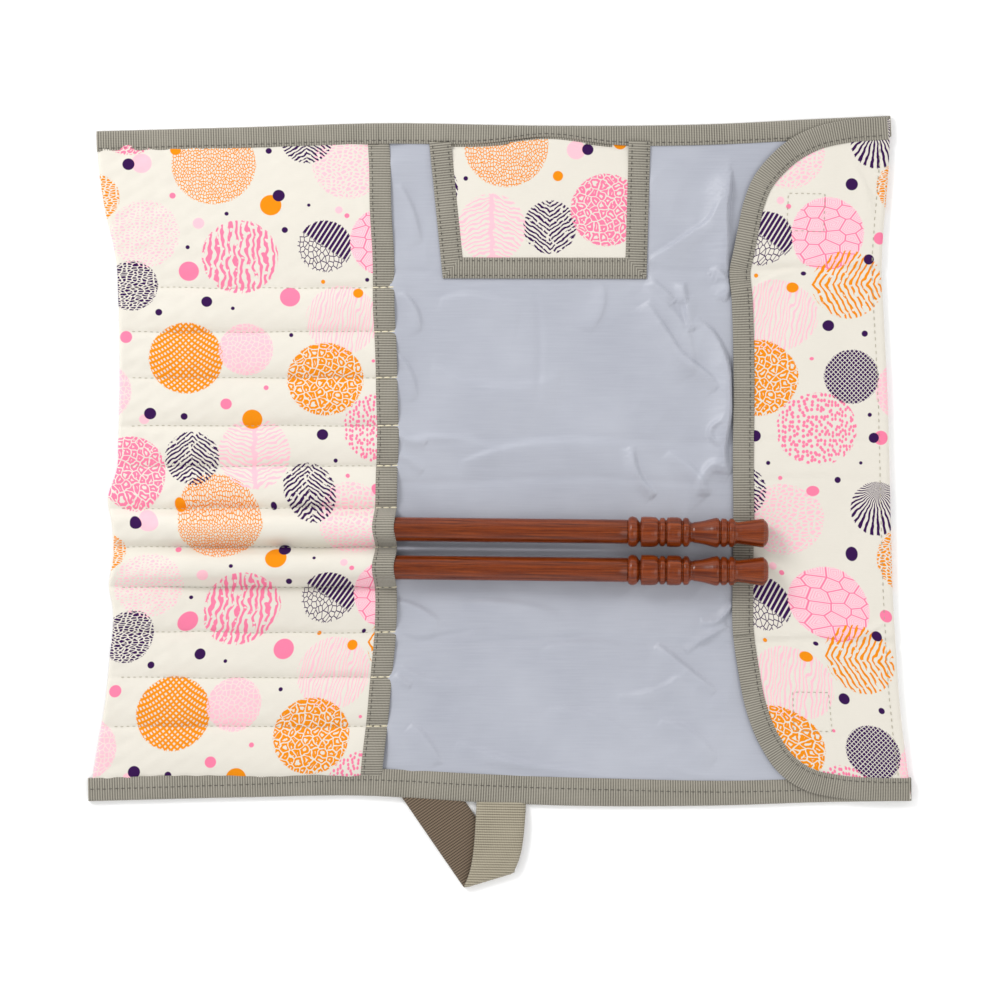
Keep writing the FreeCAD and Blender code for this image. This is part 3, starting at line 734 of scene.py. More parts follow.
def crease_height(x, y, path, left, right, height):
    """A ridge along a smooth line, with its own slope on each hand and tapering ends."""
    line, along = smooth_path(path, 1.5)
    reach = 2.2 * max(left, right)
    low, high = line.min(axis=0) - reach, line.max(axis=0) + reach
    near = (x > low[0]) & (x < high[0]) & (y > low[1]) & (y < high[1])
    place = np.stack([x[near], y[near]], axis=1)
    away = place[:, None, :] - line[None, :, :]
    nearest = np.argmin((away**2).sum(axis=2), axis=1)
    tangent = np.gradient(line, axis=0)
    tangent /= np.linalg.norm(tangent, axis=1, keepdims=True)
    away, ahead = away[np.arange(len(place)), nearest], tangent[nearest]
    side = ahead[:, 0] * away[:, 1] - ahead[:, 1] * away[:, 0]
    past = np.abs((away * ahead).sum(axis=1))
    share = along[nearest] / along[-1]
    taper = np.clip(4.5 * share * (1 - share), 0, 1) ** 0.7
    rise = np.zeros(x.shape)
    rise[near] = height * taper * bump(side, 0, np.where(side > 0, left, right)) * bump(past, 0, 3.0)
    return rise


def crumple(x, y, size, seed):
    """Creased noise: soft facets that meet in thin ridges."""
    return 1 - 2 * np.abs(smooth_noise(x, y, size, seed))


def lining_height(x, y):
    """The lining's surface: soft quilting over the wadding, folds, and creases across the case."""
    z = BASE + 0.6 + 0.4 * smooth_noise(x, y, 55.0, 11) + 0.12 * smooth_noise(x, y, 17.0, 12)
    busy = step(30, 100, x) * 0.7 + step(-60, -110, y) * 0.5 + 0.25
    z += busy * (0.32 * crumple(x, y, 62.0, 14) + 0.12 * crumple(x * 1.3, y, 27.0, 15))
    for fold in FOLDS:
        z = z + 1.25 * fold_height(x, y, *fold)
    for crease in CREASES:
        z = z + 1.3 * crease_height(x, y, *crease)
    # it rises to the pockets' mouths, most where the needles lift them
    z += 1.2 * bump(x, -52, 7)
    for at, depth in ((TOP_CREASE, 0.7), (BOTTOM_CREASE, 0.8), (30, 0.3), (10, 0.3)):
        z -= depth * bump(y - 1.5 * np.sin(x / 23), at, 2.2)
    z += 2.6 * bump(y, -24, 17) * np.clip(1 - (x + 58) / 26, 0, 1) ** 1.5
    # it stays under the flap and under the needles
    z = np.where(x > 100, np.minimum(z, BASE + 4.6), z)
    z = np.where(x > 115.5, np.minimum(z, BASE + 1.1), z)
    needle = bump(y, -14.5, 9) + bump(y, -33.5, 9)
    z = np.minimum(z, BASE + 4.5 - 3.3 * np.clip(needle, 0, 1))
    # the lining swells up between the two needles
    between = -24.0 - 0.0107 * (x + 50)
    z += 3.2 * bump(y, between, 2.0) * step(75, 40, x) * step(-62, -52, x)
    edge = np.minimum(186 - y, y + 149)
    return BASE + 0.1 + (z - BASE - 0.1) * np.clip((edge - 9) / 9, 0.0, 1)


def flat_grid(low, high, columns, pitch, inset=1.2, start=-1000.0):
    """A grid over the case from one y to another, inside its outline. columns is how they lie along X."""
    y = np.arange(low, high + pitch / 2, pitch)
    y = np.sort(np.append(y[np.abs(y - SPLIT) > pitch / 3], SPLIT))
    left, right = np.maximum(curve_at(LEFT_EDGE, y) + inset, start), curve_at(RIGHT_EDGE, y) - inset
    share = (np.array(columns) - columns[0]) / (columns[-1] - columns[0])
    x = left[:, None] + (right - left)[:, None] * share[None, :]
    yy = np.broadcast_to(y[:, None], x.shape)
    top, bottom = curve_at(TOP_EDGE, x) - inset, curve_at(BOTTOM_EDGE, x) + inset
    return x, np.clip(yy, bottom, top), y


def lining():
    """The satin that shows between the pockets and the flap."""
    columns = [*range(-100, -60, 4), *np.arange(-60, 118, 0.9), *range(118, 196, 4)]
    x, yy, y = flat_grid(-153.0, 190.0, columns, 1.0, start=-100.0)
    z = lining_height(x, yy)
    # the lining lies flat under the flap, the small pocket and the row of pockets
    z -= (z - BASE - 0.3) * step(113, 122, x)
    z -= (z - BASE - 0.2) * step(-54, -62, x)
    pocket = step(-38, -33, x) * step(77, 72, x) * step(107, 111, yy)
    z -= (z - BASE - 0.1) * pocket
    points = np.stack([x, yy, z], axis=2)
    stands_for = ["middle_lining", "top_lining"], ["bottom_lining"]
    flats = (0.296, 0.175), (0.302, 0.172)
    uv = points[:, :, :2]
    laid_cloth("satin_lining", points, uv, y, SATIN_THICK, SATIN, stands_for, flats)


def outer_cloth():
    """The printed cloth under the whole case."""
    x, yy, y = flat_grid(-153.0, 190.0, np.arange(-200, 200, 2.7), 2.4, 0.9)
    z = 1.2 + 0.12 * smooth_noise(x, yy, 60.0, 21)
    points = np.stack([x, yy, z], axis=2)
    uv = np.stack([250.0 - x, 190.0 - yy], axis=2)
    stands_for = ["middle_shell", "top_shell"], ["bottom_shell"]
    flats = (0.396, 0.174), (0.406, 0.171)
    laid_cloth("outer_cloth", points, uv, y, COTTON_THICK, COTTON, stands_for, flats)


# ---- tapes ----
def tape_section(width, top, thick=0.55, under=0.1):
    """A tape folded round an edge, seen end on: (out from the edge, height), as a closed C."""
    half = (top + under) / 2
    outer = [(-width, top - 0.15), (-width + 0.5, top), (-width * 0.5, top + 0.12), (-1.6, top),
             (-0.5, top - 0.35), (0.0, half + 0.2), (0.0, half - 0.4), (-0.5, under + 0.15), (-1.6, under),
             (-width, under)]
    inner = [(-width, under + thick), (-1.2, under + thick), (-0.8, half), (-1.2, top - thick),
             (-width, top - thick)]
    return np.array(outer + inner)


def rib(along):
    """How far a rib stands up or down at a place along a tape."""
    return RIB_HEIGHT * np.sin(TAU * np.asarray(along) / RIB_PITCH)


def edge_tape(name, path, width, top, sign, body, node):
    """Tape folded round an edge. width is a function of x; top, the cloth's height under it, of x and y."""
    line, along = smooth_path(path, TAPE_PITCH)
    out = outward(line, sign)
    heights = top(line[:, 0], line[:, 1]) + 0.16 * smooth_noise(line[:, 0], line[:, 1], 28.0, 31)
    widths = width(line[:, 0])
    sections = []
    for p, n, s, h, w in zip(line, out, along, heights, widths):
        across, height = tape_section(w, h).T
        height[:5] += rib(s)
        across[4:7] += rib(s)
        sections.append(np.column_stack([p[0] + n[0] * across, p[1] + n[1] * across, height]))
    piece = swept(name, np.array(sections), along, TAPE)
    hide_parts(node)
    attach(piece, body)
    return line, out, heights, widths


# One stitch: share of its length, share of its radius, and rise above the cloth
STITCH = [(0.0, 0.25, -0.22), (0.12, 0.8, 0.02), (0.35, 1.0, 0.14), (0.65, 1.0, 0.14), (0.88, 0.8, 0.02),
          (1.0, 0.25, -0.22)]


def stitch_row(name, points, follows, material, length=2.2, gap=0.9, radius=0.17, ups=None):
    """A row of stitches along stations: short threads that dip into the cloth at both ends.

    follows is the body that it rides, or the half of the case that it belongs to."""
    fine, sides = 0.1, 6
    line, along = even(np.asarray(points, float), fine)
    stations = np.linspace(0, along[-1], len(points))
    ups = np.tile([0, 0, 1.0], (len(points), 1)) if ups is None else ups
    up = np.stack([np.interp(along, stations, c) for c in ups.T], axis=1)
    vertices, faces = [], []
    at = gap
    while at + length < along[-1]:
        first = len(vertices)
        wide = RNG.uniform(-0.08, 0.08)
        for share, fat, rise in STITCH:
            k = min(int((at + share * length) / fine), len(line) - 1)
            ahead = line[min(k + 3, len(line) - 1)] - line[max(k - 3, 0)]
            ahead /= np.linalg.norm(ahead)
            side = np.cross(up[k], ahead)
            centre = line[k] + up[k] * rise + side * wide
            for turn in range(sides):
                a = turn * TAU / sides
                vertices.append(centre + (side * math.cos(a) + up[k] * math.sin(a)) * radius * fat)
        last = len(vertices) - sides
        for ring in range(first, last, sides):
            for turn in range(sides):
                a, b = ring + turn, ring + (turn + 1) % sides
                faces.append((a, b, b + sides, a + sides))
        faces.append(tuple(range(first, first + sides))[::-1])
        faces.append(tuple(range(last, last + sides)))
        at += length + gap
    piece = mesh_object(name, vertices, faces, material)
    if follows in ("upper", "lower"):
        bend_over(piece)
    else:
        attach(piece, follows)


def cloth_top(x, y):
    """The height of the stack under an edge tape: thicker where the pocket panel is sewn in."""
    return np.where(x < curve_at(MOUTH, y) + 2, BASE + 1.3, BASE + 0.75)


def over_mouth(x):
    """How far an edge tape rises over the end of the mouth tape."""
    return 0.9 * bump(x, -58, 10, 4)


def top_tape_height(x, y):
    """The top tape's height: it also lifts over the gaping small pocket."""
    return bottom_tape_height(x, y) + 2.3 * bump(x, 22, 27)


def bottom_tape_height(x, y):
    """The bottom tape's height."""
    return cloth_top(x, y) + over_mouth(x)


def top_tape_width(x):
    """The top tape rolls back where the small pocket gapes."""
    return 10.4 - 4.6 * bump(x, 24, 25)


def bottom_tape_width(x):
    """The bottom tape is widest in the middle of the case."""
    widths = [(-206, 11.6), (-100, 12.6), (-65, 13.7), (0, 14.2), (50, 14.0), (110, 12.4), (206, 11.6)]
    return curve_at(widths, x)


def top_and_bottom_tapes():
    """The two long edge tapes and their stitching."""
    jobs = [("top", TOP_EDGE, top_tape_width, top_tape_height, 1, 1.5),
            ("bottom", BOTTOM_EDGE, bottom_tape_width, bottom_tape_height, -1, 5.6)]
    for body, path, width, top, sign, inset in jobs:
        name = f"{body}_edge_tape"
        line, out, heights, widths = edge_tape(name, path, width, top, sign, body, f"{body}_edge_binding")
        row = np.column_stack([line - out * (widths - inset)[:, None], heights + 0.12])
        stitch_row(name + "_stitches", row, body, GREY)


def mouth_tape():
    """Tape folded round the pockets' mouth, following their puffed line, in two halves."""
    dense, along = even(panel_profile(), TAPE_PITCH)
    keep = (dense[:, 0] > -141) & (dense[:, 0] < 180.5)
    dense, along = dense[keep], along[keep]
    y = dense[:, 0]
    normal = outward(dense)
    centre = curve_at(MOUTH, y) + 2.2 + 0.4 * smooth_noise(y, 0 * y, 60.0, 41)
    side, crown, low = 5.4, 0.5, -1.15
    section = np.array([(-side, 0.12), (-side + 0.3, 0.42), (-side / 2, crown), (side / 2, crown),
                        (side - 0.7, 0.4), (side, -0.1), (side, -0.5), (side - 0.7, low), (-side, low)])
    sections = []
    for place, n, x, s in zip(dense, normal, centre, along):
        across, up = section.T.copy()
        up[:5] += rib(s)
        sections.append(np.column_stack([x + across, place + n * up[:, None]]))
    sections = np.array(sections)
    stitched = np.column_stack([centre - side + 1.6, dense + normal * crown])
    ups = np.column_stack([np.zeros(len(normal)), normal])
    replaced = {"upper": ["top_mouth_binding", "middle_mouth_binding"], "lower": ["bottom_mouth_binding"]}
    for half in ("upper", "lower"):
        rows = half_rows(y, half)
        piece = swept(f"mouth_tape_{half}", sections[rows], along[rows], TAPE)
        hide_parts(*replaced[half])
        bend_over(piece)
        stitch_row(f"mouth_stitches_{half}", stitched[rows], half, GREY, ups=ups[rows])


def seam_stitches():
    """The seams between the pockets: fine stitches along the cloth and long ones over the mouth tape."""
    points, _, y = panel_grid()
    for number, seam in enumerate(SEAMS, 1):
        k = int(np.argmin(np.abs(y - seam)))
        half = "upper" if seam >= SPLIT else "lower"
        row = points[k, 6:] + [0, 0, 0.1]
        start = curve_at(MOUTH, seam) - 3.6
        row = even(row[row[:, 0] < start], 1.0)[0]
        stitch_row(f"seam_{number}", row, half, SEAM_THREAD, 1.7, 1.3, 0.16)
        height = points[k, -1, 2] + 0.85
        over = even(np.array([[start, seam, height], [start + 12.6, seam + 0.3, height]]), 0.6)[0]
        stitch_row(f"mouth_seam_{number}", over, half, CREAM, 3.3, 0.45, 0.36)


# ---- flap ----
FLAP_BASE = 3.3
# Where each length of the flap starts and ends along the case (mm)
FLAP_SPANS = {"top": (TOP_FOLD, 190.2), "middle": (BOTTOM_FOLD, TOP_FOLD), "bottom": (-149.2, BOTTOM_FOLD)}


def flap_dip(y):
    """The creases that run across the flap, tape and all."""
    return 0.55 * bump(y, TOP_CREASE, 1.8) + 0.5 * bump(y, BOTTOM_CREASE, 1.8)


def flap_height(x, y, from_tape):
    """The flap's surface: soft slack between the creases, lying flat under its tape."""
    z = 0.35 * smooth_noise(x, y, 48.0, 51) + 0.14 * smooth_noise(x, y, 16.0, 52)
    for at, depth in ((TOP_CREASE, 0.6), (BOTTOM_CREASE, 0.7), (30, 0.25), (10, 0.25)):
        z -= depth * bump(y - 1.2 * np.sin(x / 11), at, 1.7)
        z += 0.5 * depth * bump(y, at + 4.5, 3.2)
    for fold in [((124, 104), (150, 116), 2, 3.0, 0.8), ((186, 104), (165, 112), -2, 3.5, 0.8),
                 ((122, -62), (150, -72), 2, 3.0, 0.8), ((194, -60), (168, -70), 2, 3.5, 0.8),
                 ((170, -120), (196, -138), 3, 4.0, 0.8), ((176, 168), (186, 140), 2, 4.0, 0.6)]:
        z += fold_height(x, y, *fold)
    return FLAP_BASE + 0.8 - flap_dip(y) + (z + 0.25) * step(9.5, 17, from_tape)


def flap_line(inset):
    """The flap's free edge from bottom to top, moved inward."""
    line, along = smooth_path(FLAP_EDGE[::-1], TAPE_PITCH)
    out = outward(line)
    return line - out * inset, out, along


def flap():
    """The flap in three lengths, each with the cloth that turns over at the right edge."""
    inner, _, _ = flap_line(1.0)
    edge_line = flap_line(0.0)[0][::4]
    turn, low_z, columns = 2.4, 0.75, 78
    angles = np.linspace(math.pi / 2, -math.pi / 2, 24)[1:]
    for name, (low, high) in FLAP_SPANS.items():
        y = np.linspace(low, high, int((high - low) / 1.2) + 1)
        right = curve_at(RIGHT_EDGE, y)
        left = np.minimum(np.interp(y, inner[:, 1], inner[:, 0]), right - 4.0)
        x = left[:, None] + (right - turn - left)[:, None] * np.linspace(0, 1, columns)[None, :]
        yy = np.broadcast_to(y[:, None], x.shape)
        away = (x[..., None] - edge_line[:, 0]) ** 2 + (yy[..., None] - edge_line[:, 1]) ** 2
        z = flap_height(x, yy, np.sqrt(np.min(away, axis=-1)))
        crown = z[:, -1:]
        turn_x = (right - turn)[:, None] + turn * np.cos(angles)[None, :]
        turn_z = (crown + low_z) / 2 + (crown - low_z) / 2 * np.sin(angles)[None, :]
        under_x = (right - turn)[:, None] - np.array([2.5, 6.0, 11.0])[None, :]
        xs = np.concatenate([x, turn_x, under_x], axis=1)
        zs = np.concatenate([z, turn_z, np.full(under_x.shape, low_z)], axis=1)
        ys = np.broadcast_to(y[:, None], xs.shape)
        points = np.stack([xs, ys, zs], axis=2)
        gaps = np.linalg.norm(np.diff(points[:, :, ::2], axis=1, prepend=points[:, :1, ::2]), axis=2)
        cloth_x = left[:, None] + np.cumsum(gaps, axis=1)
        # the cut of the flap turns the print a little below the needles and at the upper crease
        slide = 0.112 * np.clip(-30 - ys, 0, None) - 4.2 * step(166, 140, cloth_x) * step(128, 114, ys)
        drop = 0.11 * (cloth_x - 138) * step(-8, -48, ys)
        uv = np.stack([cloth_x - slide + 29.5, 197.0 - ys - drop], axis=2)
        piece = cloth_sheet(f"flap_{name}", points, grid_normals(points), uv, FLAP_THICK, COTTON)
        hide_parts(f"{name}_flap_panel")
        body = "flap_" + name
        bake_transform(piece)
        seam = points[:, columns - 1] + [-1.5 - 1.2 * math.sin(low), 0, 0.06]
        stitch_row(f"fold_stitches_{name}", seam, body, SEAM_THREAD, 2.0, 1.4, 0.16)


def flap_tapes():
    """Tape round the flap's free edge, one length per section, and its stitching."""
    line, out, along = flap_line(0.0)
    z = FLAP_BASE + 1.35 + 0.06 * smooth_noise(line[:, 0], line[:, 1], 24.0, 61)
    wide = 10.4 + 0.9 * step(150, 186, line[:, 1]) + 1.0 * step(-110, -148, line[:, 1])
    for name, (low, high) in FLAP_SPANS.items():
        # the lengths meet at the creases, and the outer ones run on round the corners
        below, above = 9 if name == "bottom" else 0.25, 9 if name == "top" else 0.25
        inside = (line[:, 1] >= low - below) & (line[:, 1] <= high + above)
        sections = []
        for p, n, s, h, w in zip(line[inside], out[inside], along[inside], z[inside], wide[inside]):
            across, height = tape_section(w, h, 0.4, h - 1.3).T
            height[:5] += rib(s)
            y = p[1] + n[1] * across
            sections.append(np.column_stack([p[0] + n[0] * across, y, height - flap_dip(y)]))
        piece = swept(f"flap_tape_{name}", np.array(sections), along[inside], TAPE)
        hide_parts(f"{name}_flap_binding")
        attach(piece, "flap_" + name)
        seam = line[inside] - out[inside] * (wide[inside] - 2.0)[:, None]
        row = np.column_stack([seam, z[inside] + 0.14 - flap_dip(seam[:, 1])])
        stitch_row(f"flap_tape_stitches_{name}", row, "flap_" + name, GREY)


def stitched_squares():
    """The stitched squares that hold the hook patches, and the patches' own pile."""
    # each square's corners from its middle
    places = {"top": [(-9.5, -9.0), (9.0, -9.6), (9.6, 9.2), (-8.6, 9.6)],
              "bottom": [(-9.0, -9.6), (10.2, -10.0), (8.4, 9.4), (-9.4, 9.8)]}
    for name, (x, y) in (("top", (152.5, 143.5)), ("bottom", (155.5, -105.5))):
        corners = np.array(places[name] + places[name][:1]) + (x, y)
        ring = even(corners, 0.6)[0]
        row = np.column_stack([ring, flap_height(ring[:, 0], ring[:, 1], 20.0) + 0.1])
        stitch_row(f"square_{name}", row, "flap_" + name, SEAM_THREAD, 1.7, 1.2, 0.15)
        for node in (f"{name}_hook_patch", f"{name}_loop_patch"):
            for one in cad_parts[node].material_slots:
                one.material = PILE


# ---- accessory pocket ----
# Corners of the pocket's tape, outer then inner, from the top left round to the top right
POCKET_OUTER = [(-35.4, 178.6), (-28.6, 110.6), (73.2, 110.4), (75.2, 179.2)]
POCKET_INNER = [(-24.4, 178.6), (-20.2, 121.2), (62.6, 121.0), (63.0, 179.2)]


def accessory_pocket():
    """The small pocket: a printed front that gapes at its mouth, with mitred tape on three sides."""
    low, high = 119.6, 182.0
    y = np.linspace(low, high, 60)
    left, right = np.interp(y, [121, 178.6], [-21.6, -25.8]), np.interp(y, [121, 179.2], [64.0, 64.4])
    share = np.linspace(0, 1, 80)
    x = left[:, None] + (right - left)[:, None] * share[None, :]
    yy = np.broadcast_to(y[:, None], x.shape)
    arch = np.sin(np.pi * share)[None, :] ** 0.9
    gape = 0.5 + 2.1 * step(126, 178, yy)
    z = BASE + 0.85 + arch * gape * step(low, 128, yy) + 0.15 * smooth_noise(x, yy, 19.0, 71) * arch
    mouth = curve_at(TOP_EDGE, x) - top_tape_width(x)
    yy = low + (yy - low) * (mouth + 2.2 - low) / (high - low)
    z = np.minimum(z, np.where(yy > mouth - 2, top_tape_height(x, yy) - 0.75, 99))
    points = np.stack([x, yy, z], axis=2)
    piece = cloth_sheet("accessory_pocket_front", points, grid_normals(points), points[:, :, :2],
                        COTTON_THICK, POCKET_COTTON)
    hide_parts("accessory_pocket")
    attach(piece, "top")
    # the tape edge that shows inside the gaping mouth
    at = np.linspace(-30, 56, 160)
    place = np.stack([at, curve_at(TOP_EDGE, at) - top_tape_width(at) - 0.4 - 0.8 * bump(at, 18, 30),
                      top_tape_height(at, 180.0) - 0.75], axis=1)
    ring = np.array([(0, -0.9, -0.3), (0, -0.7, 0.1), (0, 1.2, 0.15), (0, 1.2, -0.4)])
    piece = swept("accessory_mouth_lip", place[:, None, :] + ring[None, :, :], at, TAPE)
    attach(piece, "top")
    for number, side in enumerate(("left", "bottom", "right")):
        pocket_tape(side, number)


def pocket_tape(side, number):
    """One mitred length of the pocket's tape, with its stitching."""
    outer, inner = (np.array(c[number:number + 2], float) for c in (POCKET_OUTER, POCKET_INNER))
    length = np.linalg.norm(outer[1] - outer[0])
    ahead = (outer[1] - outer[0]) / length
    starts, ends = ((inner[k] - outer[k]) @ ahead for k in (0, 1))
    inward = inner[0] - outer[0] - ahead * starts
    along = np.linspace(0, length, int(length / TAPE_PITCH))

    def place(t):
        """Stations at a share of the way across the tape, stopping at the mitres, and their run."""
        run = np.clip(along, t * starts, length + t * ends)
        run += 0.002 * (along - run)
        return outer[0] + ahead * run[:, None] + inward * t, run

    open_end = {"left": along < 0.3 * length, "bottom": along < 0, "right": along > 0.7 * length}[side]
    rise = 1.1 * open_end * step(0.5, 1.0, np.abs(along / length - 0.5) * 2)
    section = [(0, 0.0), (0.01, 0.8), (0.06, 1.15), (0.5, 1.25), (0.94, 1.15), (0.99, 0.85), (1.0, 0.1)]
    rings, runs = [], []
    for k, (t, up) in enumerate(section):
        xy, run = place(t)
        rings.append(np.column_stack([xy, BASE + 0.3 + up + rise * t + rib(run) * (0 < k < 6)]))
        runs.append(run)
    rings, runs = np.stack(rings, axis=1), np.stack(runs, axis=1)
    piece = swept(f"accessory_tape_{side}", rings, runs, TAPE)
    if side == "bottom":
        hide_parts("accessory_pocket_binding")
    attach(piece, "top")
    for row_number, t in enumerate((0.14, 0.84), 1):
        row = np.column_stack([place(t)[0], BASE + 0.3 + 1.28 + rise * t])
        row = row[(along > t * starts) & (along < length + t * ends)]
        name = f"accessory_stitches_{side}_{row_number}"
        stitch_row(name, row, "top", GREY, 1.5, 1.4, 0.18)


# ---- needles ----
# How far a needle reaches from its point to its end, and its rod's radius
NEEDLE_REACH = (308.5, -3.3, 4.18)
ROD_RADIUS = 6.0
# Turned profile of the handle from its bead to its end: distance along, radius
HANDLE_LENGTH = 70.0
HANDLE_LINE = [
    (0, 6.0), (0.3, 6.6), (1.2, 7.35), (2.4, 7.62), (3.6, 7.35), (4.7, 6.6), (5.3, 5.6), (5.7, 5.1),
    (6.2, 5.1), (6.4, 6.0), (6.6, 7.2), (7.2, 7.45), (9.5, 7.55), (12.2, 7.5), (13.8, 7.25), (14.8, 6.7),
    (15.3, 5.95), (15.6, 5.9), (16.0, 6.7), (17.2, 7.15), (18.4, 6.7), (18.9, 5.9), (19.2, 5.9),
    (19.5, 6.9), (20.4, 7.3), (23.0, 7.42), (25.3, 7.3), (26.4, 6.8), (26.9, 5.95), (27.2, 5.9),
    (27.7, 6.8), (29.0, 7.25), (30.2, 6.7), (30.8, 5.6), (31.2, 5.15), (33.5, 5.25), (37.0, 5.75),
    (40.5, 6.6), (43.0, 7.25), (44.2, 7.4), (45.2, 6.9), (45.7, 6.0), (46.0, 5.95), (46.4, 6.7),
    (47.7, 7.15), (49.0, 6.7), (49.7, 5.95), (50.0, 5.95), (50.4, 6.7), (51.6, 7.15), (52.7, 6.7),
    (53.3, 5.8), (53.8, 5.55), (57.0, 5.7), (61.0, 6.25), (64.5, 6.85), (66.8, 7.1), (67.5, 7.0),
    (67.8, 6.6), (68.2, 6.3), (69.0, 5.4), (69.7, 3.6), (69.95, 1.6), (HANDLE_LENGTH, 0.02),
]


def lathe(name, profile, origin, material, sides=64):
    """A turned piece: its profile swept round the needle's axis."""
    profile = np.array(profile, float)
    along = np.array(NEEDLE_REACH) / np.linalg.norm(NEEDLE_REACH)
    side = np.cross(along, [0, 0, 1.0])
    side /= np.linalg.norm(side)
    up = np.cross(side, along)
    angles = np.linspace(0, TAU, sides + 1)
    round_axis = np.cos(angles)[:-1, None] * side + np.sin(angles)[:-1, None] * up
    points = np.array([origin + along * s + radius * round_axis for s, radius in profile])
    run = np.concatenate([[0], np.cumsum(np.linalg.norm(np.diff(profile, axis=0), axis=1))])
    uv = np.stack(np.broadcast_arrays(run[:, None], angles[None, :] * ROD_RADIUS), axis=2)
    last = len(profile) - 1
    faces, corners = [], []
    for i in range(last):
        for j in range(sides):
            k = (j + 1) % sides
            faces.append((i * sides + j, i * sides + k, (i + 1) * sides + k, (i + 1) * sides + j))
            corners += [uv[i, j], uv[i, j + 1], uv[i + 1, j + 1], uv[i + 1, j]]
    for ring, order in ((0, -1), (last, 1)):
        faces.append([ring * sides + j for j in range(sides)][::order])
        corners += [uv[ring, j] for j in range(sides)][::order]
    piece = mesh_object(name, points.reshape(-1, 3), faces, material)
    layer = piece.data.uv_layers.new(name="cloth")
    layer.data.foreach_set("uv", (np.array(corners) * MM).ravel())
    return piece


def needles():
    """Two turned needles: a pointed shaft and a handle each."""
    shoulder = math.hypot(*NEEDLE_REACH) - HANDLE_LENGTH
    tip, taper = 1.6, 24.4
    shaft = [(0.0, 0.05), (0.4, 0.9), (tip, 1.9)]
    for s in np.linspace(4, 26, 14):
        shaft.append((s, 1.9 + 4.1 * math.sin(math.pi / 2 * (s - tip) / taper) ** 0.9))
    shaft += [(s, ROD_RADIUS) for s in np.linspace(34, shoulder - 0.4, 40)]
    shaft += [(shoulder, 5.7), (shoulder + 0.6, 5.2)]
    fine = np.linspace(0, HANDLE_LENGTH, 420)
    handle = list(zip(fine + shoulder, np.maximum(curve_at(HANDLE_LINE, fine), 0.02)))
    for name, y in (("upper", -13.2), ("lower", -32.2)):
        origin = np.array([-175.0, y, 7.97])
        rod = lathe(f"{name}_shaft", shaft, origin, WOOD)
        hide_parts(f"{name}_needle_shaft")
        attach(rod, f"{name}_needle")
        knob = lathe(f"{name}_handle", handle, origin, HANDLE)
        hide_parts(f"{name}_needle_handle")
        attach(knob, f"{name}_needle")


# ---- strap ----
# The middle of its slanting fold, its width, and where both legs go under the bottom tape
STRAP_FOLD, STRAP_WIDTH = np.array([-6.3, -188.7]), 25.0
STRAP_ROOT = -146.0
# Distances along the band from that fold: its lower and upper end
STRAP_ENDS = (-57.0, 46.0)


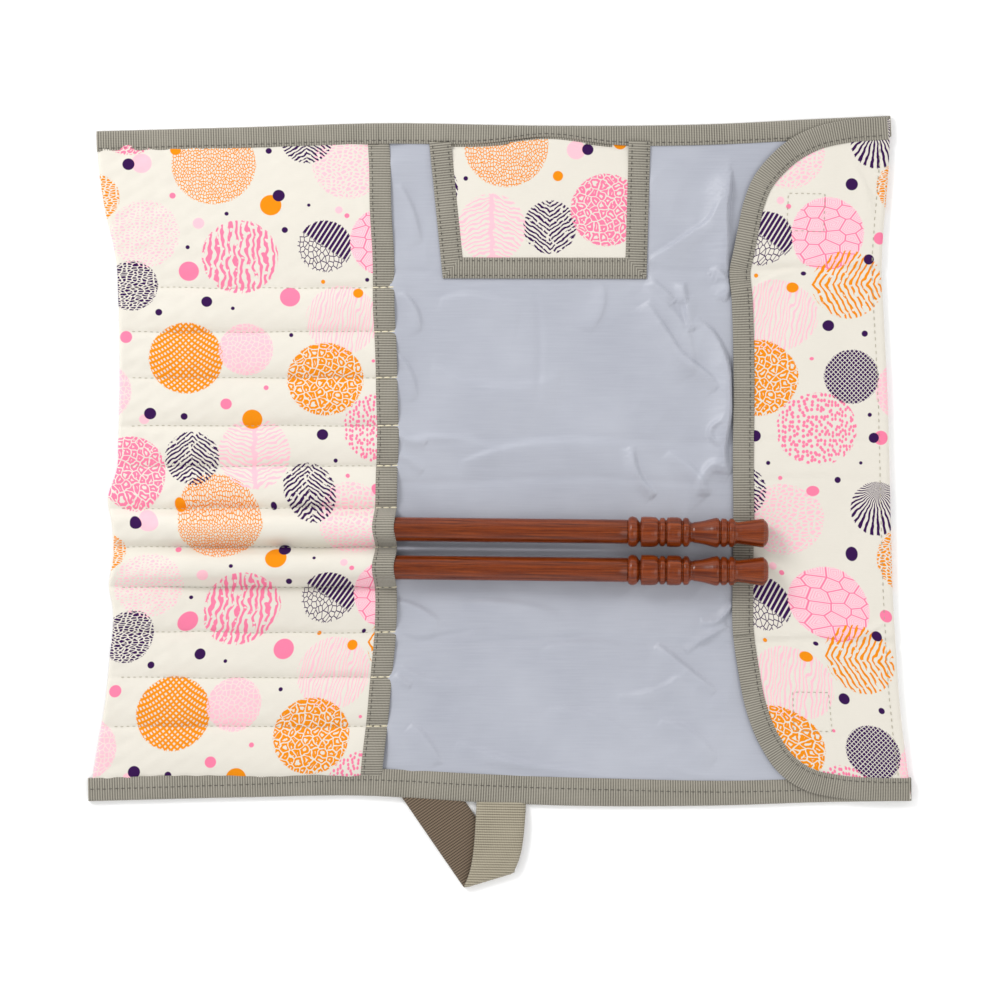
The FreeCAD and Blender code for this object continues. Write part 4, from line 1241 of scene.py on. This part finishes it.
def strap():
    """The webbing loop: a flat band that turns back over itself along a slanting fold."""
    down, across = np.array([0.566, -0.824]), np.array([0.824, 0.566])
    away, radius, thick = np.array([0.29, -0.957]), 1.15, 0.55
    stations = np.arange(*STRAP_ENDS, 0.4)
    ring = [(v, face) for face in (1, -1) for v in face * np.linspace(-1, 1, 13)]
    sections = []
    for u in stations:
        section = []
        for v, face in ring:
            flat = STRAP_FOLD + down * u + across * v * STRAP_WIDTH / 2
            past = (flat - STRAP_FOLD) @ away
            turn = min(max(past / radius, 0.0), math.pi)
            beyond = max(past - math.pi * radius, 0.0)
            place = flat - away * (max(past, 0.0) - radius * math.sin(turn) + beyond)
            # the upper leg leans over as it climbs to the tape, and both legs run into the tape
            climb = place[1] + 189.0
            lean = (4.5 * (1 - math.exp(-beyond / 8.5)) + 0.025 * beyond) if beyond else 0.0
            height = 0.95 + radius * (1 - math.cos(turn))
            height += 0.5 * math.sin(math.pi * min(max(climb / 42, 0), 1))
            height -= (height - 1.5) * float(step(28, 41, climb))
            selvedge = abs(v) > 0.99
            lift = thick * 0.4 if selvedge else thick + rib(u)
            inward = np.array([*(-away * math.sin(turn)), math.cos(turn)])
            y = min(place[1], STRAP_ROOT + 0.02 * (place[1] - STRAP_ROOT))
            section.append(np.array([place[0] + lean, y, height]) + inward * lift * face)
        sections.append(section)
    piece = swept("webbing_loop", np.array(sections), stations - STRAP_ENDS[0], WEBBING)
    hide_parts("strap")
    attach(piece, "strap")


# ---- stage, light and camera ----
def stage():
    """A plain white table, soft light from above and a camera straight over the case."""
    bpy.ops.mesh.primitive_plane_add(size=6.0, location=(0, 0, -0.0002))
    floor = bpy.context.object
    floor.name = "table"
    s = Shader("table")
    grain = s.noise(s.node("TexCoord", output=3), 400.0)
    floor.data.materials.append(s.finish(rgb(255, 255, 255), 0.9, grain, 0.00002))
    world = bpy.context.scene.world or bpy.data.worlds.new("World")
    bpy.context.scene.world = world
    world.use_nodes = True
    # a bright tent that is dimmer straight overhead
    tree = world.node_tree
    background = tree.nodes["Background"]
    way = tree.nodes.new("ShaderNodeTexCoord")
    parts = tree.nodes.new("ShaderNodeSeparateXYZ")
    fall = tree.nodes.new("ShaderNodeMapRange")
    for number, value in enumerate((0.35, 1.0, 1.25, 0.42), 1):
        fall.inputs[number].default_value = value
    tree.links.new(way.outputs[0], parts.inputs[0])
    tree.links.new(parts.outputs[2], fall.inputs[0])
    tree.links.new(fall.outputs[0], background.inputs[1])
    background.inputs[0].default_value = (1, 1, 1, 1)
    lamps = [("key", (-0.9, 0.8, 1.0), 0.5, 12.0), ("fill", (0.9, -0.4, 1.5), 1.0, 6.0)]
    for name, place, size, power in lamps:
        light = bpy.data.lights.new(name, "AREA")
        light.energy, light.size = power, size
        lamp = bpy.data.objects.new(name, light)
        bpy.context.collection.objects.link(lamp)
        lamp.location = place
        lamp.rotation_euler = (-lamp.location).to_track_quat("-Z", "Y").to_euler()
    camera = bpy.data.cameras.new("camera")
    height, view = 2.0, 0.5
    camera.sensor_width = 36.0
    camera.lens = camera.sensor_width * height / view
    eye = bpy.data.objects.new("camera", camera)
    bpy.context.collection.objects.link(eye)
    eye.location = (0, 0, height)
    bpy.context.scene.camera = eye
    bpy.context.scene.view_settings.view_transform = "Standard"


lining()
outer_cloth()
pocket_panels()
mouth_tape()
seam_stitches()
top_and_bottom_tapes()
flap()
flap_tapes()
stitched_squares()
accessory_pocket()
needles()
strap()
stage()
